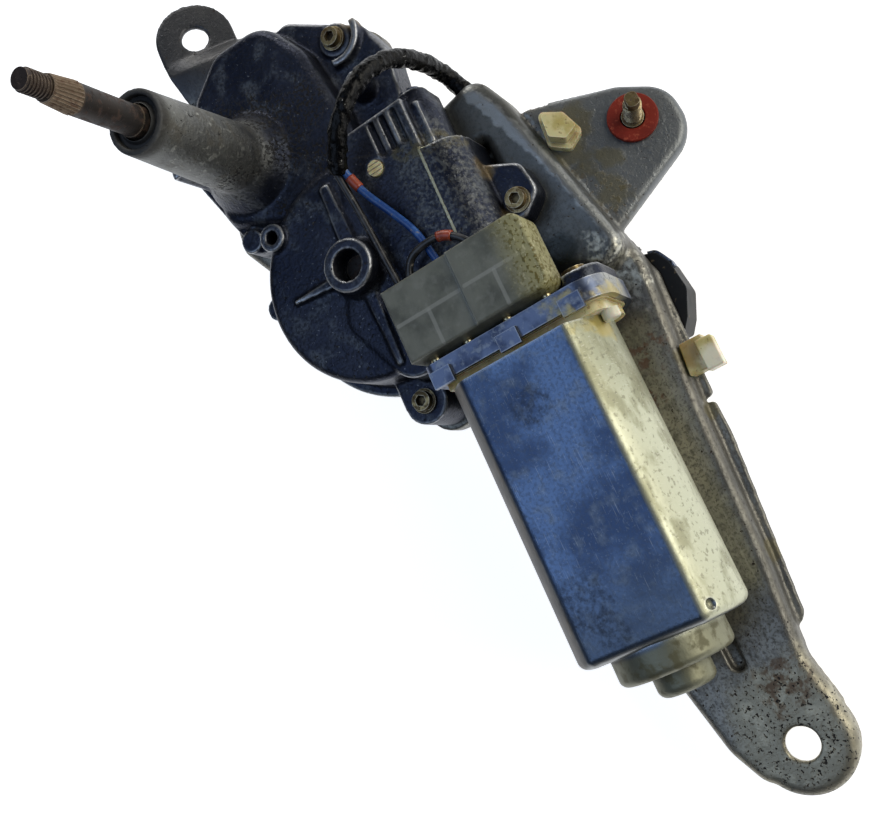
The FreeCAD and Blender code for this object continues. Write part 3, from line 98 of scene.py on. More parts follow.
class Finish:
    """A procedural material, built up in layers from its base, in the coordinates of the CAD frame."""

    def __init__(self, name, colour, rough, metal=0.0):
        self.material = bpy.data.materials.new(name)
        self.material.use_nodes = True
        self.tree = self.material.node_tree
        self.tree.nodes.clear()
        coordinates = self.node("ShaderNodeTexCoord")
        self.place = coordinates.outputs["Object"]
        self.normal = coordinates.outputs["Normal"]
        self.colour = colour
        self.rough = rough
        self.metal = metal
        self.height = 0.0

    def node(self, kind, **settings):
        made = self.tree.nodes.new(kind)
        for key, value in settings.items():
            setattr(made, key, value)
        return made

    def put(self, source, socket):
        """Sets a socket to a value, or links it to another socket."""
        if isinstance(source, bpy.types.NodeSocket):
            self.tree.links.new(source, socket)
        else:
            socket.default_value = source

    def maths(self, operation, first, second=0.0, third=0.0, clamp=False):
        """Arithmetic on numbers or sockets."""
        made = self.node("ShaderNodeMath", operation=operation, use_clamp=clamp)
        for source, socket in zip((first, second, third), made.inputs):
            self.put(source, socket)
        return made.outputs[0]

    def vector(self, operation, first, second=(0, 0, 0), result="Vector"):
        made = self.node("ShaderNodeVectorMath", operation=operation)
        self.put(first, made.inputs[0])
        self.put(second, made.inputs[1])
        return made.outputs[result]

    def between(self, value, low, high):
        """0 at low, 1 at high, and smooth in between."""
        made = self.node("ShaderNodeMapRange", interpolation_type="SMOOTHSTEP")
        self.put(value, made.inputs["Value"])
        made.inputs["From Min"].default_value = low
        made.inputs["From Max"].default_value = high
        return made.outputs["Result"]

    def grain(self, size, detail=3.0, stretch=(1, 1, 1), harsh=0.55, shift=0.0):
        """Noise with features about size millimetres across, drawn out along an axis by its stretch."""
        scale = [1000 / (size * along) for along in stretch]
        scaled = self.vector("MULTIPLY", self.place, scale)
        if shift:
            scaled = self.vector("ADD", scaled, (shift, shift, shift))
        made = self.node("ShaderNodeTexNoise")
        made.inputs["Scale"].default_value = 1.0
        made.inputs["Detail"].default_value = detail
        made.inputs["Roughness"].default_value = harsh
        self.put(scaled, made.inputs["Vector"])
        return made.outputs["Fac"]

    def patches(self, size, low=0.45, high=0.6, **how):
        """Grain as separate patches, whose edges are the sharper the closer low is to high."""
        return self.between(self.grain(size, **how), low, high)

    def spot(self, centre, radius, ragged=0.6, grit=4.0):
        """1 inside a ragged blot on the surface, 0 outside it."""
        away = self.vector("DISTANCE", self.place, mm(*centre), "Value")
        away = self.maths("DIVIDE", away, mm(radius))
        torn = self.maths("MULTIPLY_ADD", self.grain(grit, 4.0, shift=centre[0]), ragged * 2, -ragged)
        return self.between(self.maths("ADD", away, torn), 1.1, 0.6)

    def streak(self, start, end, radius, ragged=0.5, grit=3.0):
        """1 along a line between two points, 0 away from it."""
        along = mm(*end) - mm(*start)
        out = self.vector("SUBTRACT", self.place, mm(*start))
        share = self.vector("DOT_PRODUCT", out, along / along.length_squared, "Value")
        share = self.maths("ADD", share, 0.0, clamp=True)
        nearest = self.node("ShaderNodeVectorMath", operation="SCALE")
        nearest.inputs[0].default_value = along
        self.put(share, nearest.inputs["Scale"])
        away = self.vector("DISTANCE", out, nearest.outputs["Vector"], "Value")
        away = self.maths("DIVIDE", away, mm(radius))
        torn = self.maths("MULTIPLY_ADD", self.grain(grit, 3.0, shift=start[1]), ragged * 2, -ragged)
        return self.between(self.maths("ADD", away, torn), 1.1, 0.6)

    def facing(self, axis, low, high):
        """1 where the surface faces along an axis."""
        return self.between(self.vector("DOT_PRODUCT", self.normal, axis, "Value"), low, high)

    def level(self, low, high):
        """1 above a height in millimetres, 0 below another."""
        split = self.node("ShaderNodeSeparateXYZ")
        self.put(self.place, split.inputs[0])
        return self.between(split.outputs["Z"], mm(low), mm(high))

    def edges(self, radius, low=0.02, high=0.12):
        """1 on convex and concave edges, from how far a rounded normal leans from the real one."""
        bevel = self.node("ShaderNodeBevel", samples=4)
        bevel.inputs["Radius"].default_value = mm(radius)
        plain = self.node("ShaderNodeNewGeometry")
        lean = self.vector("DOT_PRODUCT", bevel.outputs["Normal"], plain.outputs["Normal"], "Value")
        return self.between(self.maths("SUBTRACT", 1.0, lean), low, high)

    def ridges(self, low=0.52, high=0.6):
        """1 on the convex edges of a fine mesh."""
        plain = self.node("ShaderNodeNewGeometry")
        return self.between(plain.outputs["Pointiness"], low, high)

    def creases(self, low=0.48, high=0.42):
        """1 in the hollow corners of a fine mesh."""
        plain = self.node("ShaderNodeNewGeometry")
        return self.between(plain.outputs["Pointiness"], low, high)

    def sheltered(self, reach, low=0.75, high=0.35):
        """1 in corners and under overhangs, where shade falls; the finishes paint shade with it."""
        shade = self.node("ShaderNodeAmbientOcclusion", samples=4, only_local=True)
        shade.inputs["Distance"].default_value = mm(reach)
        return self.between(shade.outputs["AO"], low, high)

    def both(self, first, second):
        return self.maths("MULTIPLY", first, second)

    def share(self, mask, amount):
        return self.maths("MULTIPLY", mask, amount)

    def blend(self, mask, old, new, kind):
        made = self.node("ShaderNodeMix", data_type=kind)
        names = {"RGBA": (6, 7, 2), "FLOAT": (2, 3, 0)}[kind]
        self.put(mask, made.inputs[0])
        self.put(old, made.inputs[names[0]])
        self.put(new, made.inputs[names[1]])
        return made.outputs[names[2]]

    def layer(self, mask, colour=None, rough=None, metal=None, lift=0.0):
        """Covers what is there wherever the mask is 1. A lift in millimetres raises it."""
        if colour is not None:
            self.colour = self.blend(mask, self.colour, colour, "RGBA")
        if rough is not None:
            self.rough = self.blend(mask, self.rough, rough, "FLOAT")
        if metal is not None:
            self.metal = self.blend(mask, self.metal, metal, "FLOAT")
        if lift:
            self.height = self.maths("MULTIPLY_ADD", mask, lift, self.height)
        return self

    def done(self, **extras):
        """The finished material. Extras set the shader's other sockets, with _ for a space in their names."""
        shader = self.node("ShaderNodeBsdfPrincipled")
        output = self.node("ShaderNodeOutputMaterial")
        self.put(self.colour, shader.inputs["Base Color"])
        self.put(self.rough, shader.inputs["Roughness"])
        self.put(self.metal, shader.inputs["Metallic"])
        for key, value in extras.items():
            self.put(value, shader.inputs[key.replace("_", " ")])
        if isinstance(self.height, bpy.types.NodeSocket):
            bump = self.node("ShaderNodeBump")
            bump.inputs["Distance"].default_value = mm(1)
            self.put(self.height, bump.inputs["Height"])
            self.put(bump.outputs["Normal"], shader.inputs["Normal"])
        self.put(shader.outputs[0], output.inputs["Surface"])
        return self.material


# The walls inside the connector cap, which show through it
CAP_WALLS = [
    ((70.4, 28, 7.7), (70.4, 47, 7.7)), ((70.8, 37.6, 7.7), (80, 37.6, 7.7)),
    ((70.4, 49, 8.6), (70.4, 68, 8.6)), ((70.8, 57.6, 8.6), (80, 57.6, 8.6)),
    ((60.6, 47.8, 8.2), (80, 47.8, 8.2)),
]

# Colours that several finishes share
SOOT = tone(24, 22, 22)
RUST = tone(92, 58, 38)
GREASE = tone(148, 124, 62)
DRY_GREASE = tone(112, 92, 48)
BARE = tone(206, 206, 202)


def greased(finish, blots, colour=GREASE, amount=0.85):
    """Old grease: a translucent yellow film that is thicker where the blot is full."""
    for centre, radius in blots:
        film = finish.share(finish.spot(centre, radius, 0.9, 5.0), amount)
        finish.layer(film, colour, 0.3, 0.15, 0.15)


def cast_housing():
    f = Finish("cast_housing", tone(51, 55, 68), 0.44, 0.88)
    f.layer(f.patches(24, 0.4, 0.65), tone(32, 37, 52), 0.38)
    f.layer(f.patches(7, 0.5, 0.7, detail=4.0, shift=3.0), tone(84, 88, 94), 0.5)
    f.layer(f.patches(0.9, 0.35, 0.75, detail=2.0), tone(40, 43, 52), lift=0.06)
    f.layer(f.grain(2.6, 4.0), lift=0.14)
    tunnel = f.streak((30, 51, -6), (76, 51, -6), 12, 0.2)
    tunnel = f.both(tunnel, f.patches(1.2, 0.4, 0.7, detail=3.0, shift=1.0))
    f.layer(f.share(tunnel, 0.45), tone(124, 126, 122), 0.5, 0.8)
    tube = f.streak((0, 0, 3), (0, 0, 44), 13, 0.25, 6.0)
    f.layer(f.share(tube, 0.8), tone(118, 118, 112), 0.5, 0.75)
    stained = f.both(tube, f.patches(5, 0.5, 0.66, detail=6.0))
    f.layer(f.share(stained, 0.7), tone(84, 80, 70), 0.6, 0.5, -0.03)
    rubbed = f.both(tube, f.patches(3, 0.58, 0.68, detail=6.0, shift=7.0))
    f.layer(f.share(rubbed, 0.6), tone(172, 172, 164), 0.45, 0.6)
    # Painted highlight: light grey along the convex ridges.
    f.layer(f.share(f.ridges(0.512, 0.55), 0.75), tone(196, 198, 200), 0.34, 0.9)
    # Painted shade: near black in the hollow corners.
    f.layer(f.share(f.creases(), 0.8), tone(24, 23, 24), 0.8, 0.2)
    pitted = [
        ((-9, 11, FAN_TOP), 9), ((-14, 0, FAN_TOP), 8), ((-5, 23, FAN_TOP), 9), ((4, 14, FAN_TOP), 7),
        ((12, 22, FAN_TOP), 6), ((19, 6, CASE_TOP), 5), ((0, 0, 4), 13),
    ]
    for centre, radius in pitted:
        blot = f.spot(centre, radius, 0.8, 6)
        f.layer(f.both(blot, f.patches(1.0, 0.52, 0.57, detail=4.0, shift=2.0)), SOOT, 0.85, 0.1, -0.2)
    f.layer(f.patches(1.2, 0.66, 0.69, detail=4.0, shift=9.0), SOOT, 0.85, 0.1, -0.15)
    f.layer(f.share(f.patches(0.9, 0.66, 0.72, detail=3.0, shift=12.0), 0.4), tone(150, 152, 154), 0.4, 0.9)
    mouth = f.both(tube, f.level(37, 41))
    f.layer(f.share(mouth, 0.9), tone(40, 38, 34), 0.7, 0.3)
    f.layer(f.spot((3.7, 8.5, -3), 2.2), BARE, 0.3, 1.0)
    for end in ((28.7, 56.6, DECK_TOP), (53.1, 49.3, DECK_TOP)):
        line = f.streak(VENT_CORNER, end, 0.45, 0.5, 1.5)
        f.layer(f.share(line, 0.75), tone(196, 192, 160), 0.4, 0.7, 0.1)
    f.layer(f.share(f.streak((18.1, 29.3, -3), (27.6, 49.7, -3), 0.6), 0.8), SOOT, 0.8, 0.1)
    wet = f.both(f.streak((26, 46, DECK_TOP), (29, 60, -8), 4, 0.7), f.patches(3, 0.4, 0.6, detail=5.0))
    f.layer(f.share(wet, 0.6), tone(86, 78, 44), 0.3, 0.4)
    blots = [((54, 58, -12), 4), ((38, 60, -12), 4), ((70, 60, -8), 4), ((-22, 44, -14), 4)]
    greased(f, blots, DRY_GREASE, 0.55)
    f.layer(f.share(f.spot(HUB, 4.6, 0.2), 0.9), tone(60, 44, 36), 0.75, 0.2)
    return f.done()


def bracket_steel():
    f = Finish("bracket_steel", tone(134, 131, 122), 0.42, 0.85)
    f.layer(f.patches(30, 0.42, 0.62), tone(112, 111, 106), 0.36)
    f.layer(f.share(f.patches(9, 0.5, 0.7, detail=5.0, shift=4.0), 0.6), tone(150, 148, 138), 0.48)
    f.layer(f.patches(1.8, 0.45, 0.7, detail=5.0), tone(108, 106, 100), 0.46, lift=0.04)
    specks = f.patches(0.7, 0.5, 0.64, detail=3.0, shift=11.0)
    f.layer(f.share(specks, 0.6), tone(84, 82, 78), 0.55, lift=-0.03)
    f.layer(f.share(f.patches(0.8, 0.5, 0.7, stretch=(12, 1, 1)), 0.25), tone(150, 150, 148), 0.34)
    # Painted shade: the raised deck, above about -23 mm, is darker.
    f.layer(f.share(f.level(-26, -23), 0.75), tone(76, 79, 79), 0.38)
    # Painted shade: the faces that look towards +Y are darker.
    f.layer(f.share(f.facing((0, 1, 0), 0.3, 0.8), 0.5), tone(76, 74, 68), 0.5, 0.6)
    f.layer(f.share(f.spot(TOP_EAR, 26, 0.3, 12), 0.8), tone(54, 56, 62), 0.42)
    f.layer(f.share(f.spot(SIDE_EAR, 32, 0.2, 12), 0.75), tone(112, 117, 121), 0.4)
    # Painted highlight: light grey along the convex edges.
    f.layer(f.share(f.ridges(0.53, 0.6), 0.55), tone(190, 190, 184), 0.32, 0.95)
    # Painted shade: dark brown in the hollow corners.
    f.layer(f.share(f.creases(0.47, 0.4), 0.8), tone(40, 35, 30), 0.8, 0.3)
    # Painted highlight: a light band along the ridge of the deck.
    ridge = [(9.4, 62.4, BRACKET_DECK), (40, 74.5, BRACKET_DECK), (71.5, 82.5, BRACKET_DECK)]
    for start, end in zip(ridge, ridge[1:]):
        f.layer(f.share(f.streak(start, end, 2.2, 0.8), 0.5), tone(176, 178, 176), 0.34, 0.9)
    worn = f.both(f.spot((79, 79, BRACKET_DECK), 12, 0.8), f.patches(1.6, 0.38, 0.62, detail=5.0))
    f.layer(f.share(worn, 0.85), tone(206, 204, 190), 0.34, 0.9, 0.04)
    f.layer(f.share(f.spot((65.5, 67.2, BRACKET_DECK), 5.5, 0.3), 0.85), tone(52, 56, 56), 0.3)
    for centre, radius in (((98.7, 74, BRACKET_TOP), 7), ((111, 70, BRACKET_TOP), 4)):
        rusty = f.both(f.spot(centre, radius), f.patches(2.4, 0.5, 0.62, detail=5.0))
        f.layer(f.share(rusty, 0.7), RUST, 0.8, 0.1, -0.05)
    ear = f.spot(LOW_EAR, 20, 0.4, 8)
    f.layer(f.share(ear, 0.8), tone(158, 152, 132), 0.46, 0.8)
    paler = f.both(ear, f.patches(5, 0.5, 0.64, detail=6.0, shift=1.0))
    f.layer(f.share(paler, 0.5), tone(194, 188, 166), 0.46, 0.7)
    dirt = f.both(f.spot((190, 68, BRACKET_TOP), 8, 0.8, 5), f.patches(2.6, 0.46, 0.6, detail=5.0))
    f.layer(f.share(dirt, 0.75), tone(78, 54, 40), 0.75, 0.2, -0.04)
    f.layer(f.both(ear, f.patches(0.9, 0.6, 0.64, detail=3.0, shift=6.0)), SOOT, 0.85, 0.0, -0.1)
    f.layer(f.patches(1.1, 0.67, 0.7, detail=3.0, shift=8.0), tone(46, 38, 32), 0.85, 0.0, -0.08)
    crumbs = f.streak((38, 64, BRACKET_TOP), (58, 84, -32), 8, 0.5)
    crumbs = f.both(crumbs, f.patches(2.0, 0.52, 0.6, detail=5.0))
    f.layer(f.share(crumbs, 0.6), tone(70, 58, 32), 0.6, 0.1, 0.08)
    greased(f, [
        ((43.3, 79.7, -31), 7), ((55.7, 85.2, -31), 6), ((34, 83, -31), 7), ((48, 88, -31), 4),
        ((119.8, 79.8, -36), 4), ((159.3, 78, -36), 4), ((106, 83, -30), 4),
    ], tone(92, 84, 48), 0.6)
    return f.done()


def can_steel():
    f = Finish("can_steel", tone(150, 152, 152), 0.36, 0.9)
    # Painted reflection: the faces that look up take the blue of the sky reflected in them, in mottled
    # patches, and greyer toward the tail end.
    top = f.facing((0, 0, 1), 0.8, 0.97)
    f.layer(top, tone(88, 108, 138), 0.32)
    f.layer(f.both(top, f.patches(16, 0.4, 0.64, detail=5.0)), tone(62, 78, 106), 0.4)
    clouds = f.both(top, f.patches(5, 0.5, 0.72, detail=6.0, shift=5.0))
    f.layer(f.share(clouds, 0.6), tone(116, 124, 132), 0.45)
    mottle = f.both(top, f.patches(0.9, 0.45, 0.65, detail=4.0, shift=15.0))
    f.layer(f.share(mottle, 0.5), tone(70, 80, 96), 0.4, lift=0.03)
    specks = f.both(top, f.patches(0.7, 0.6, 0.68, detail=3.0, shift=18.0))
    f.layer(f.share(specks, 0.2), tone(150, 158, 168), 0.4)
    along = f.vector("DOT_PRODUCT", f.place, (1, 0, 0), "Value")
    f.layer(f.share(f.both(top, f.between(along, mm(138), mm(164))), 0.55), tone(80, 88, 96), 0.4)
    # Painted reflection: the side that looks towards +Y takes the cream white of the warm light reflected in
    # it, and is darker toward the gear end. Smears, flecks and fine scratches lie on it.
    lit_side = f.facing((0, 1, 0.25), 0.3, 0.75)
    f.layer(f.share(lit_side, 0.9), tone(196, 197, 170), 0.42, 0.75)
    f.layer(f.share(f.both(lit_side, f.between(along, mm(120), mm(96))), 0.6), tone(136, 137, 112), 0.42)
    smears = f.both(lit_side, f.patches(5, 0.48, 0.66, detail=6.0, stretch=(2, 1, 1)))
    f.layer(f.share(smears, 0.75), tone(142, 141, 114), 0.5)
    flecks = f.both(lit_side, f.patches(1.2, 0.55, 0.66, detail=6.0, shift=3.0))
    f.layer(f.share(flecks, 0.5), tone(110, 106, 88), 0.6)
    # Painted shade: the side that looks towards -Y is dark brown grey, in patches.
    shaded_side = f.facing((0, -1, 0), 0.35, 0.75)
    f.layer(f.share(shaded_side, 0.9), tone(58, 55, 52), 0.5, 0.5)
    f.layer(f.both(shaded_side, f.patches(8, 0.45, 0.65, detail=5.0)), tone(84, 78, 70), 0.45)
    scratches = f.patches(0.3, 0.62, 0.72, stretch=(26, 1, 1))
    f.layer(f.share(scratches, 0.2), tone(200, 200, 196), 0.3, lift=0.008)
    cross = f.patches(0.35, 0.6, 0.7, stretch=(1, 18, 3), shift=4.0)
    f.layer(f.share(f.both(lit_side, cross), 0.35), tone(214, 212, 198), 0.3, lift=0.01)
    f.layer(f.grain(5, 3.0), lift=0.12)
    f.layer(f.grain(0.8, 2.0), lift=0.02)
    f.layer(f.share(f.edges(1.2), 0.5), tone(206, 210, 210), 0.3, 0.95)
    for centre, radius in (((104, 50, 4.5), 6), ((152, 41, 4.5), 9), ((161, 45, 4.5), 5)):
        stain = f.both(f.spot(centre, radius, 0.5, 9), f.patches(1.3, 0.35, 0.7, detail=6.0, shift=radius))
        f.layer(f.share(stain, 0.5), tone(44, 46, 52), 0.55)
    f.layer(f.spot((163.5, 68, -8), 1.6, 0.3), SOOT, 0.8, 0.1)
    tail = f.between(along, mm(167), mm(168.5))
    f.layer(f.share(tail, 0.85), tone(120, 119, 97), 0.48, 0.6)
    f.layer(f.share(f.both(tail, f.patches(4, 0.5, 0.62, detail=6.0)), 0.8), tone(92, 88, 62), 0.6, 0.4)
    # Painted shade: dark brown grey in corners and under overhangs.
    f.layer(f.share(f.sheltered(4), 0.7), tone(46, 43, 34), 0.7, 0.2)
    greased(f, [((91, 66, -2), 5), ((92, 72, -6), 5)], tone(168, 150, 70), 0.75)
    return f.done()


def zinc_steel():
    f = Finish("zinc_steel", tone(94, 104, 126), 0.36, 0.9)
    f.layer(f.patches(8, 0.42, 0.65, detail=5.0), tone(54, 62, 84), 0.42)
    bloom = f.patches(2, 0.5, 0.7, detail=4.0, shift=4.0)
    f.layer(f.share(bloom, 0.6), tone(148, 154, 162), 0.5, lift=0.04)
    lobe = f.spot((84, 76, -8), 9, 0.3)
    f.layer(f.share(lobe, 0.8), tone(176, 176, 168), 0.5, 0.7)
    f.layer(f.both(lobe, f.patches(1.0, 0.5, 0.66, detail=3.0)), tone(120, 122, 120), 0.55, lift=-0.05)
    f.layer(f.share(f.edges(0.5, 0.01, 0.09), 0.4), BARE, 0.3, 1.0)
    # Painted shade: dark grey in corners and under overhangs.
    f.layer(f.share(f.sheltered(3), 0.6), tone(58, 54, 50), 0.7, 0.2)
    greased(f, [((89, 68, -3), 8), ((89, 76, -6), 6), ((84, 75, -12), 5)], tone(176, 160, 92), 0.8)
    return f.done()


def screw_steel():
    f = Finish("screw_steel", tone(140, 124, 88), 0.36, 0.95)
    f.layer(f.patches(3, 0.45, 0.6, detail=5.0), tone(88, 72, 46), 0.5, 0.8)
    f.layer(f.patches(0.8, 0.55, 0.7, detail=3.0), tone(70, 54, 40), 0.7, 0.3, -0.03)
    f.layer(f.share(f.edges(0.35), 0.8), tone(216, 206, 180), 0.3, 1.0)
    # Painted shade: near black in corners and under overhangs.
    f.layer(f.share(f.sheltered(2), 0.8), tone(38, 30, 24), 0.8, 0.1)
    return f.done()


def spindle_steel():
    f = Finish("spindle_steel", tone(46, 39, 34), 0.5, 0.65)
    f.layer(f.patches(9, 0.42, 0.62, detail=5.0, stretch=(1, 1, 0.5)), tone(32, 27, 24), 0.6, 0.4, 0.03)
    f.layer(f.patches(2.2, 0.5, 0.62, detail=6.0, shift=3.0), tone(56, 39, 29), 0.75, 0.15, 0.06)
    f.layer(f.patches(1.2, 0.6, 0.68, detail=5.0, shift=5.0), tone(40, 30, 26), 0.85, 0.1, -0.08)
    knurl = f.both(f.level(62.5, 64), f.level(72.5, 71))
    f.layer(f.share(knurl, 0.8), tone(116, 98, 78), 0.5, 0.6)
    f.layer(f.both(knurl, f.patches(1.5, 0.5, 0.62, detail=5.0)), tone(84, 62, 46), 0.8, 0.2)
    f.layer(f.share(f.level(71.5, 72.5), 0.8), tone(58, 48, 44), 0.5, 0.7)
    f.layer(f.share(f.edges(0.3), 0.5), tone(178, 158, 132), 0.4, 0.8)
    return f.done()


def gear_steel():
    f = Finish("gear_steel", tone(150, 150, 152), 0.32, 1.0)
    f.layer(f.patches(0.5, 0.5, 0.7, stretch=(8, 8, 1)), tone(120, 120, 122), 0.4, lift=0.01)
    f.layer(f.share(f.patches(7, 0.5, 0.62, detail=4.0), 0.5), tone(142, 118, 62), 0.25, 0.4)
    f.layer(f.share(f.edges(0.3), 0.6), BARE, 0.25, 1.0)
    return f.done()


def bronze():
    f = Finish("bronze", tone(168, 128, 76), 0.45, 0.9)
    f.layer(f.patches(0.7, 0.5, 0.64, detail=2.0), tone(112, 80, 46), 0.6, lift=-0.02)
    # Painted shade: dark brown in corners and under overhangs.
    f.layer(f.share(f.sheltered(2), 0.7), tone(62, 42, 26), 0.7)
    return f.done()


def contact_brass():
    f = Finish("contact_brass", tone(206, 196, 158), 0.3, 1.0)
    f.layer(f.patches(2, 0.5, 0.66, detail=4.0), tone(164, 144, 96), 0.4)
    f.layer(f.share(f.edges(0.3), 0.6), tone(236, 230, 206), 0.2)
    return f.done()


def copper():
    f = Finish("copper", tone(186, 108, 66), 0.35, 1.0)
    f.layer(f.patches(0.4, 0.4, 0.6, stretch=(10, 1, 1)), tone(140, 72, 44), 0.4, lift=0.04)
    return f.done()


def rubber(name, colour, paler, rough):
    f = Finish(name, colour, rough)
    f.layer(f.patches(5, 0.45, 0.7, detail=5.0), paler, rough + 0.1)
    f.layer(f.grain(0.6, 2.0), lift=0.03)
    f.layer(f.share(f.edges(0.4), 0.4), tone(110, 110, 108), rough + 0.15)
    return f.done()


def dull_solid(name, colour, speck, metal):
    f = Finish(name, colour, 0.6, metal)
    f.layer(f.patches(0.7, 0.45, 0.6, detail=3.0), speck, 0.7, lift=0.03)
    f.layer(f.patches(6, 0.45, 0.65, detail=4.0, shift=2.0), speck, 0.5)
    return f.done()


def cream_plastic():
    f = Finish("cream_plastic", tone(206, 196, 146), 0.4)
    f.layer(f.patches(5, 0.45, 0.65, detail=5.0), tone(178, 164, 100), 0.45)
    # Painted shade: a brown, slightly raised layer in corners and under overhangs.
    f.layer(f.share(f.sheltered(4, 0.9, 0.45), 0.85), tone(120, 92, 44), 0.6, lift=0.05)
    f.layer(f.share(f.patches(1.6, 0.58, 0.66, detail=5.0, shift=4.0), 0.7), tone(124, 100, 56), 0.6)
    for centre, radius in (((104, 83, -32), 5.5), ((30, 81, -31), 5)):
        f.layer(f.share(f.spot(centre, radius, 0.5), 0.8), tone(150, 120, 50), 0.35)
    for centre, radius in (((109, 89, -30), 4.5), ((92, 74, -6), 5)):
        f.layer(f.share(f.spot(centre, radius, 0.3), 0.8), tone(226, 222, 204), 0.4)
    f.layer(f.share(f.edges(0.5), 0.5), tone(236, 228, 204), 0.4)
    return f.done(Subsurface_Weight=0.25, Subsurface_Scale=mm(1.5))


def nylon():
    f = Finish("nylon", tone(226, 220, 204), 0.4)
    f.layer(f.patches(8, 0.5, 0.66, detail=4.0), tone(206, 190, 140), 0.35)
    # Painted shade: yellow brown in corners and under overhangs.
    f.layer(f.share(f.sheltered(2), 0.7), tone(150, 124, 66), 0.3)
    return f.done(Subsurface_Weight=0.2, Subsurface_Scale=mm(1.5))


def red_plastic():
    f = Finish("red_plastic", tone(122, 36, 22), 0.55)
    f.layer(f.patches(7, 0.42, 0.65, detail=5.0), tone(108, 30, 18), 0.6)
    f.layer(f.patches(1.0, 0.56, 0.68, detail=4.0), tone(150, 66, 46), 0.7, lift=0.02)
    f.layer(f.share(f.edges(0.4), 0.6), tone(168, 80, 58), 0.6)
    return f.done(Specular_IOR_Level=0.2)


def black_sleeve():
    f = Finish("black_sleeve", tone(5, 5, 6), 0.24)
    f.layer(f.grain(1.6, 3.0, harsh=0.7), lift=0.35)
    f.layer(f.patches(2.2, 0.6, 0.68, detail=5.0, shift=2.0), tone(22, 22, 22), 0.24)
    # Painted highlight: pale grey flecks for the glints on the tape's wrinkles.
    f.layer(f.patches(1.3, 0.67, 0.72, detail=5.0, shift=8.0), tone(150, 150, 146), 0.4)
    f.layer(f.share(f.patches(6, 0.58, 0.72, shift=5.0), 0.4), tone(32, 30, 25), 0.5)
    return f.done(Specular_IOR_Level=0.16)


def wire(name, colour, paler):
    f = Finish(name, colour, 0.32)
    f.layer(f.patches(3, 0.45, 0.66, detail=4.0), paler, 0.4)
    f.layer(f.share(f.patches(1.2, 0.62, 0.7, detail=4.0, shift=3.0), 0.6), tone(130, 124, 112), 0.6)
    return f.done()


def black_plastic():
    f = Finish("black_plastic", tone(10, 10, 11), 0.5)
    f.layer(f.patches(6, 0.45, 0.66, detail=5.0), tone(19, 19, 20), 0.55)
    f.layer(f.share(f.edges(0.6), 0.5), tone(96, 98, 98), 0.4)
    mud = f.patches(2, 0.62, 0.7, detail=5.0, shift=2.0)
    f.layer(f.share(mud, 0.6), tone(112, 100, 80), 0.7, lift=0.03)
    return f.done(Specular_IOR_Level=0.25)


def clear_cap():
    f = Finish("clear_cap", tone(146, 148, 134), 0.36)
    f.layer(f.patches(9, 0.42, 0.66, detail=5.0), tone(112, 114, 102), 0.42)
    f.layer(f.share(f.patches(2.4, 0.5, 0.7, detail=6.0, shift=2.0), 0.3), tone(184, 186, 178), 0.46)
    for start, end in CAP_WALLS:
        f.layer(f.share(f.streak(start, end, 0.6, 0.2), 0.5), tone(206, 208, 198), 0.35)
    aged = f.between(f.vector("DOT_PRODUCT", f.place, (0, 1, 0), "Value"), mm(58), mm(67))
    f.layer(f.share(aged, 0.75), tone(206, 200, 140), 0.5)
    specks = f.patches(1.1, 0.5, 0.6, detail=5.0, shift=4.0)
    f.layer(f.both(aged, specks), tone(128, 116, 58), 0.6, lift=0.05)
    f.layer(f.both(aged, f.patches(0.9, 0.58, 0.66, detail=5.0, shift=9.0)), tone(232, 228, 190), 0.4)
    f.layer(f.grain(2.2, 4.0), lift=0.12)
    f.layer(f.share(f.edges(0.8), 0.7), tone(232, 234, 226), 0.3)
    return f.done(Transmission_Weight=0.55, IOR=1.38)


FINISHES = {
    "cast_housing": cast_housing(),
    "zinc_steel": zinc_steel(),
    "gasket": rubber("gasket", tone(38, 38, 40), tone(60, 58, 56), 0.7),
    "screw_steel": screw_steel(),
    "bronze": bronze(),
    "black_rubber": rubber("black_rubber", tone(22, 22, 22), tone(44, 42, 40), 0.6),
    "spindle_steel": spindle_steel(),
    "gear_steel": gear_steel(),
    "nylon": nylon(),
    "contact_brass": contact_brass(),
    "can_steel": can_steel(),
    "cream_plastic": cream_plastic(),
    "carbon": dull_solid("carbon", tone(30, 30, 30), tone(50, 50, 50), 0.1),
    "ferrite": dull_solid("ferrite", tone(52, 52, 54), tone(76, 76, 78), 0.3),
    "laminations": dull_solid("laminations", tone(110, 110, 112), tone(80, 80, 82), 0.9),
    "copper": copper(),
    "clear_cap": clear_cap(),
    "black_sleeve": black_sleeve(),
    "blue_insulation": wire("blue_insulation", tone(24, 62, 122), tone(44, 88, 150)),
    "black_insulation": wire("black_insulation", tone(22, 22, 24), tone(50, 50, 52)),
    "bracket_steel": bracket_steel(),
    "red_plastic": red_plastic(),
    "black_plastic": black_plastic(),
}
OWN_FINISH = {"wheel_axle": FINISHES["spindle_steel"]}
MARKER = wire("wire_marker", tone(150, 62, 36), tone(120, 46, 26))


# Carried-over CAD nodes

def dressed(node, edge):
    """Rounds a CAD node's edges with modifiers and gives it its finish."""
    thing = NODES[node]
    thing.data.materials.clear()
    thing.data.materials.append(OWN_FINISH.get(node, FINISHES[SLOT_OF[node]]))
    weld = thing.modifiers.new("weld", "WELD")
    weld.merge_threshold = mm(0.002)
    bevel = thing.modifiers.new("soft_edges", "BEVEL")
    bevel.width = mm(edge)
    bevel.segments = 2
    bevel.limit_method = "ANGLE"
    bevel.angle_limit = math.radians(32)
    bevel.use_clamp_overlap = True
    normals = thing.modifiers.new("flat_faces", "WEIGHTED_NORMAL")
    normals.keep_sharp = True
    for face in thing.data.polygons:
        face.use_smooth = True


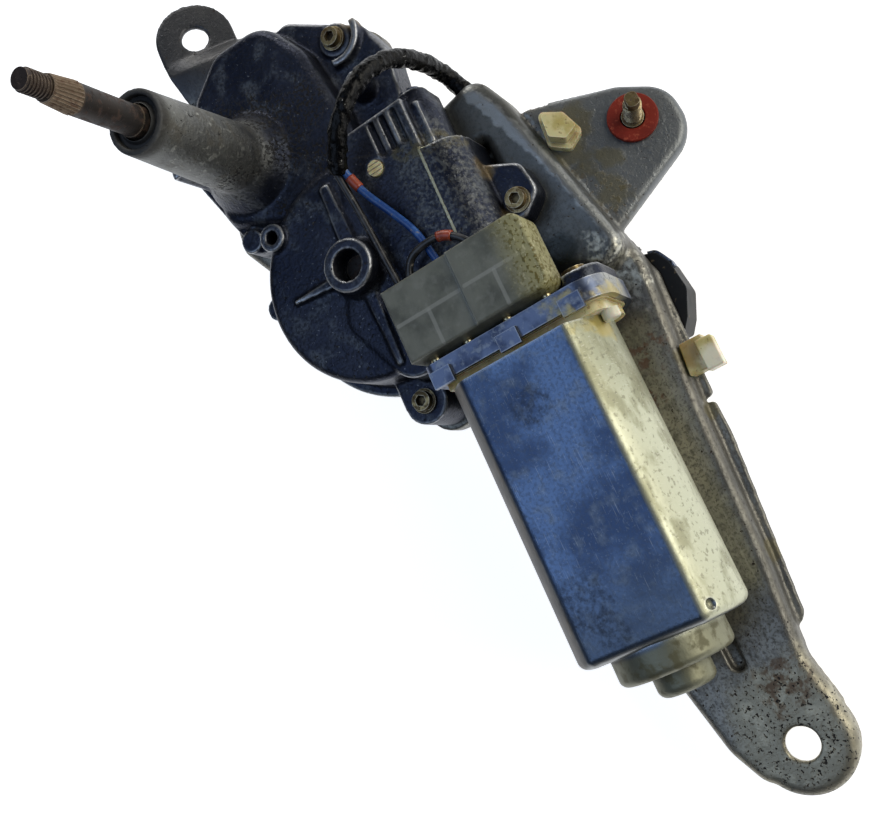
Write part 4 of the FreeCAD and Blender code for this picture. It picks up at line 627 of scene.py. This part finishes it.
EDGE = {
    "motor_can": 0.6, "end_plate": 0.4, "connector_cap": 0.3, "red_washer": 0.35, "harness_clip_upper": 0.5,
    "harness_clip_lower": 0.5, "plug_housing": 0.5, "mounting_stud": 0.12, "output_shaft": 0.1,
}
USUAL_EDGE = 0.18
for node_name in NODES:
    dressed(node_name, EDGE.get(node_name, USUAL_EDGE))


# Detailed pieces

def placed(name, mesh, slot, body="frame", stands_for=()):
    """Puts a mesh in the scene with its finish, on a body, in the place of its CAD nodes."""
    mesh.name = name
    thing = bpy.data.objects.new(name, mesh)
    bpy.context.scene.collection.objects.link(thing)
    mesh.materials.clear()
    mesh.materials.append(FINISHES[slot])
    for face in mesh.polygons:
        face.use_smooth = True
    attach(thing, body)
    if stands_for:
        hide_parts(*stands_for)
    return thing


def recast(node, name, voxel, passes):
    """A CAD node with the soft edges and corners that casting or pressing leaves."""
    source = bpy.data.objects.new("source", NODES[node].data.copy())
    bpy.context.scene.collection.objects.link(source)
    remesh = source.modifiers.new("even", "REMESH")
    remesh.mode = "VOXEL"
    remesh.voxel_size = mm(voxel)
    soften = source.modifiers.new("soften", "SMOOTH")
    soften.factor = 0.5
    soften.iterations = passes
    graph = bpy.context.evaluated_depsgraph_get()
    mesh = bpy.data.meshes.new_from_object(source.evaluated_get(graph))
    bpy.data.objects.remove(source)
    return placed(name, mesh, SLOT_OF[node], stands_for=(node,))


CAST_VOXEL = 0.55
CAST_PASSES = 4
recast("gear_housing", "housing_casting", CAST_VOXEL, CAST_PASSES)
recast("mounting_bracket", "bracket_pressing", CAST_VOXEL, CAST_PASSES)


# Wiring

def route_line(points):
    """Points along the smooth line of a route, with where each lies along it, in metres."""
    curve = bpy.data.curves.new("route", "CURVE")
    curve.dimensions = "3D"
    curve.resolution_u = 24
    spline = curve.splines.new("NURBS")
    spline.points.add(len(points) - 1)
    for point, place in zip(spline.points, points):
        point.co = (*mm(*place), 1.0)
    spline.order_u = 3
    spline.use_endpoint_u = True
    holder = bpy.data.objects.new("route", curve)
    bpy.context.scene.collection.objects.link(holder)
    graph = bpy.context.evaluated_depsgraph_get()
    line = bpy.data.meshes.new_from_object(holder.evaluated_get(graph))
    places = np.array([vertex.co for vertex in line.vertices])
    bpy.data.objects.remove(holder)
    steps = np.linalg.norm(np.diff(places, axis=0), axis=1)
    return places, np.concatenate([[0.0], np.cumsum(steps)])


def lead_tube(name, points, slot, radius_at, start=0.0, stop=None, step=0.4, around=16, stands_for=()):
    """A tube along part of a route, all in mm, whose radius is radius_at(length, angle)."""
    places, lengths = route_line(points)
    stop = lengths[-1] if stop is None else mm(stop)
    rings = max(int((stop - mm(start)) / mm(step)), 4)
    at = np.linspace(mm(start), stop, rings)
    middle = np.stack([np.interp(at, lengths, places[:, axis]) for axis in range(3)], axis=1)
    forward = np.gradient(middle, axis=0)
    forward /= np.linalg.norm(forward, axis=1)[:, None]
    side = Vector(forward[0]).orthogonal().normalized()
    vertices = []
    for index in range(rings):
        ahead = Vector(forward[index])
        side = (side - ahead * side.dot(ahead)).normalized()
        up = ahead.cross(side)
        for turn in range(around):
            angle = 2 * math.pi * turn / around
            radius = mm(radius_at(at[index] * 1000, angle))
            outward = side * math.cos(angle) + up * math.sin(angle)
            vertices.append(Vector(middle[index]) + outward * radius)
    faces = []
    for index in range(rings - 1):
        for turn in range(around):
            after = (turn + 1) % around
            low = index * around
            faces.append((low + turn, low + after, low + around + after, low + around + turn))
    faces.append(tuple(reversed(range(around))))
    faces.append(tuple(range((rings - 1) * around, rings * around)))
    mesh = bpy.data.meshes.new(name)
    mesh.from_pydata(vertices, [], faces)
    return placed(name, mesh, slot, stands_for=stands_for)


TAPE_PITCH = 8.5
TAPE_INSET = 0.5
TAPE_LAP = 0.32
TAPE_WRINKLE = 0.3
TAPE_PUCKER = 0.16


def tape_radius(length, angle):
    """Wound tape: each turn overlaps the last one, and the tape is wrinkled."""
    lap = (length / TAPE_PITCH + angle / (2 * math.pi)) % 1.0
    wrinkle = noise.noise(Vector((length * 0.55, 1.6 * math.cos(angle), 1.6 * math.sin(angle))))
    pucker = noise.noise(Vector((length * 1.7, 2.5 * math.cos(angle), 2.5 * math.sin(angle) + 7)))
    return SLEEVE_R - TAPE_INSET + TAPE_LAP * lap + TAPE_WRINKLE * wrinkle + TAPE_PUCKER * pucker


def even(radius):
    return lambda length, angle: radius


lead_tube(
    "sleeve_tape", SLEEVE_ROUTE, "black_sleeve", tape_radius,
    start=2, around=28, stands_for=("harness_sleeve",),
)
lead_tube("blue_lead", BLUE_ROUTE, "blue_insulation", even(WIRE_R), stands_for=("blue_wire",))
lead_tube("black_lead", BLACK_ROUTE, "black_insulation", even(WIRE_R), stands_for=("black_wire",))
lead_tube("loop_lead", LOOP_ROUTE, "black_insulation", even(WIRE_R), stands_for=("black_wire_loop",))
MARKERS = (("blue_marker", BLUE_ROUTE, 3.0, 7.0), ("loop_marker", LOOP_ROUTE, 16.5, 20.5))
for marker, route, first, last in MARKERS:
    band = lead_tube(marker, route, "red_plastic", even(WIRE_R + 0.35), first, last)
    band.data.materials[0] = MARKER


# Light, floor and camera

def area_light(name, place, target, size, power, colour):
    lamp = bpy.data.lights.new(name, "AREA")
    lamp.shape = "RECTANGLE"
    lamp.size, lamp.size_y = size
    lamp.energy = power
    lamp.color = colour
    thing = bpy.data.objects.new(name, lamp)
    bpy.context.scene.collection.objects.link(thing)
    thing.location = place
    thing.rotation_euler = (Vector(target) - Vector(place)).to_track_quat("-Z", "Y").to_euler()


area_light("sky_panel", (0.03, -0.28, 0.95), (0.08, 0.04, 0), (0.9, 0.8), 2.9, (0.56, 0.72, 1.0))
area_light("warm_panel", (0.12, 0.95, 0.42), (0.08, 0.04, 0), (1.0, 0.6), 7.0, (1.0, 0.96, 0.86))
area_light("left_panel", (-0.9, 0.1, 0.35), (0.0, 0.02, 0), (0.5, 0.3), 3.0, (1.0, 0.97, 0.92))

world = bpy.data.worlds.new("studio")
bpy.context.scene.world = world
world.use_nodes = True
world.node_tree.nodes["Background"].inputs["Color"].default_value = (0.5, 0.58, 0.72, 1.0)
world.node_tree.nodes["Background"].inputs["Strength"].default_value = 0.08

FLOOR_HALF = 1.2
floor_mesh = bpy.data.meshes.new("floor")
corner_signs = [(-1, -1), (1, -1), (1, 1), (-1, 1)]
floor_corners = [(x * FLOOR_HALF, y * FLOOR_HALF, mm(FLOOR)) for x, y in corner_signs]
floor_mesh.from_pydata(floor_corners, [], [(0, 1, 2, 3)])
floor = bpy.data.objects.new("floor", floor_mesh)
bpy.context.scene.collection.objects.link(floor)
paper = Finish("white_paper", (0.9, 0.9, 0.9, 1.0), 0.9)
floor_mesh.materials.append(paper.done(Emission_Color=(1.0, 1.0, 1.0, 1.0), Emission_Strength=0.82))

# The camera looks down on the drive. These are its place, and its right and up directions in the CAD's frame.
CAMERA_PLACE = mm(152.3, 132.6, 254.8)
CAMERA_LENS = 45.31
VIEW_RIGHT = Vector((0.3987, 0.8078, -0.4340))
VIEW_UP = Vector((-0.8923, 0.4509, 0.0196))
VIEW_BACK = VIEW_RIGHT.cross(VIEW_UP).normalized()
lens = bpy.data.cameras.new("camera")
lens.sensor_width = 36.0
lens.lens = CAMERA_LENS
camera = bpy.data.objects.new("camera", lens)
bpy.context.scene.collection.objects.link(camera)
turned = Matrix((VIEW_RIGHT, VIEW_UP, VIEW_BACK)).transposed().to_4x4()
camera.matrix_world = Matrix.Translation(CAMERA_PLACE) @ turned
bpy.context.scene.camera = camera
bpy.context.scene.view_settings.view_transform = "Standard"
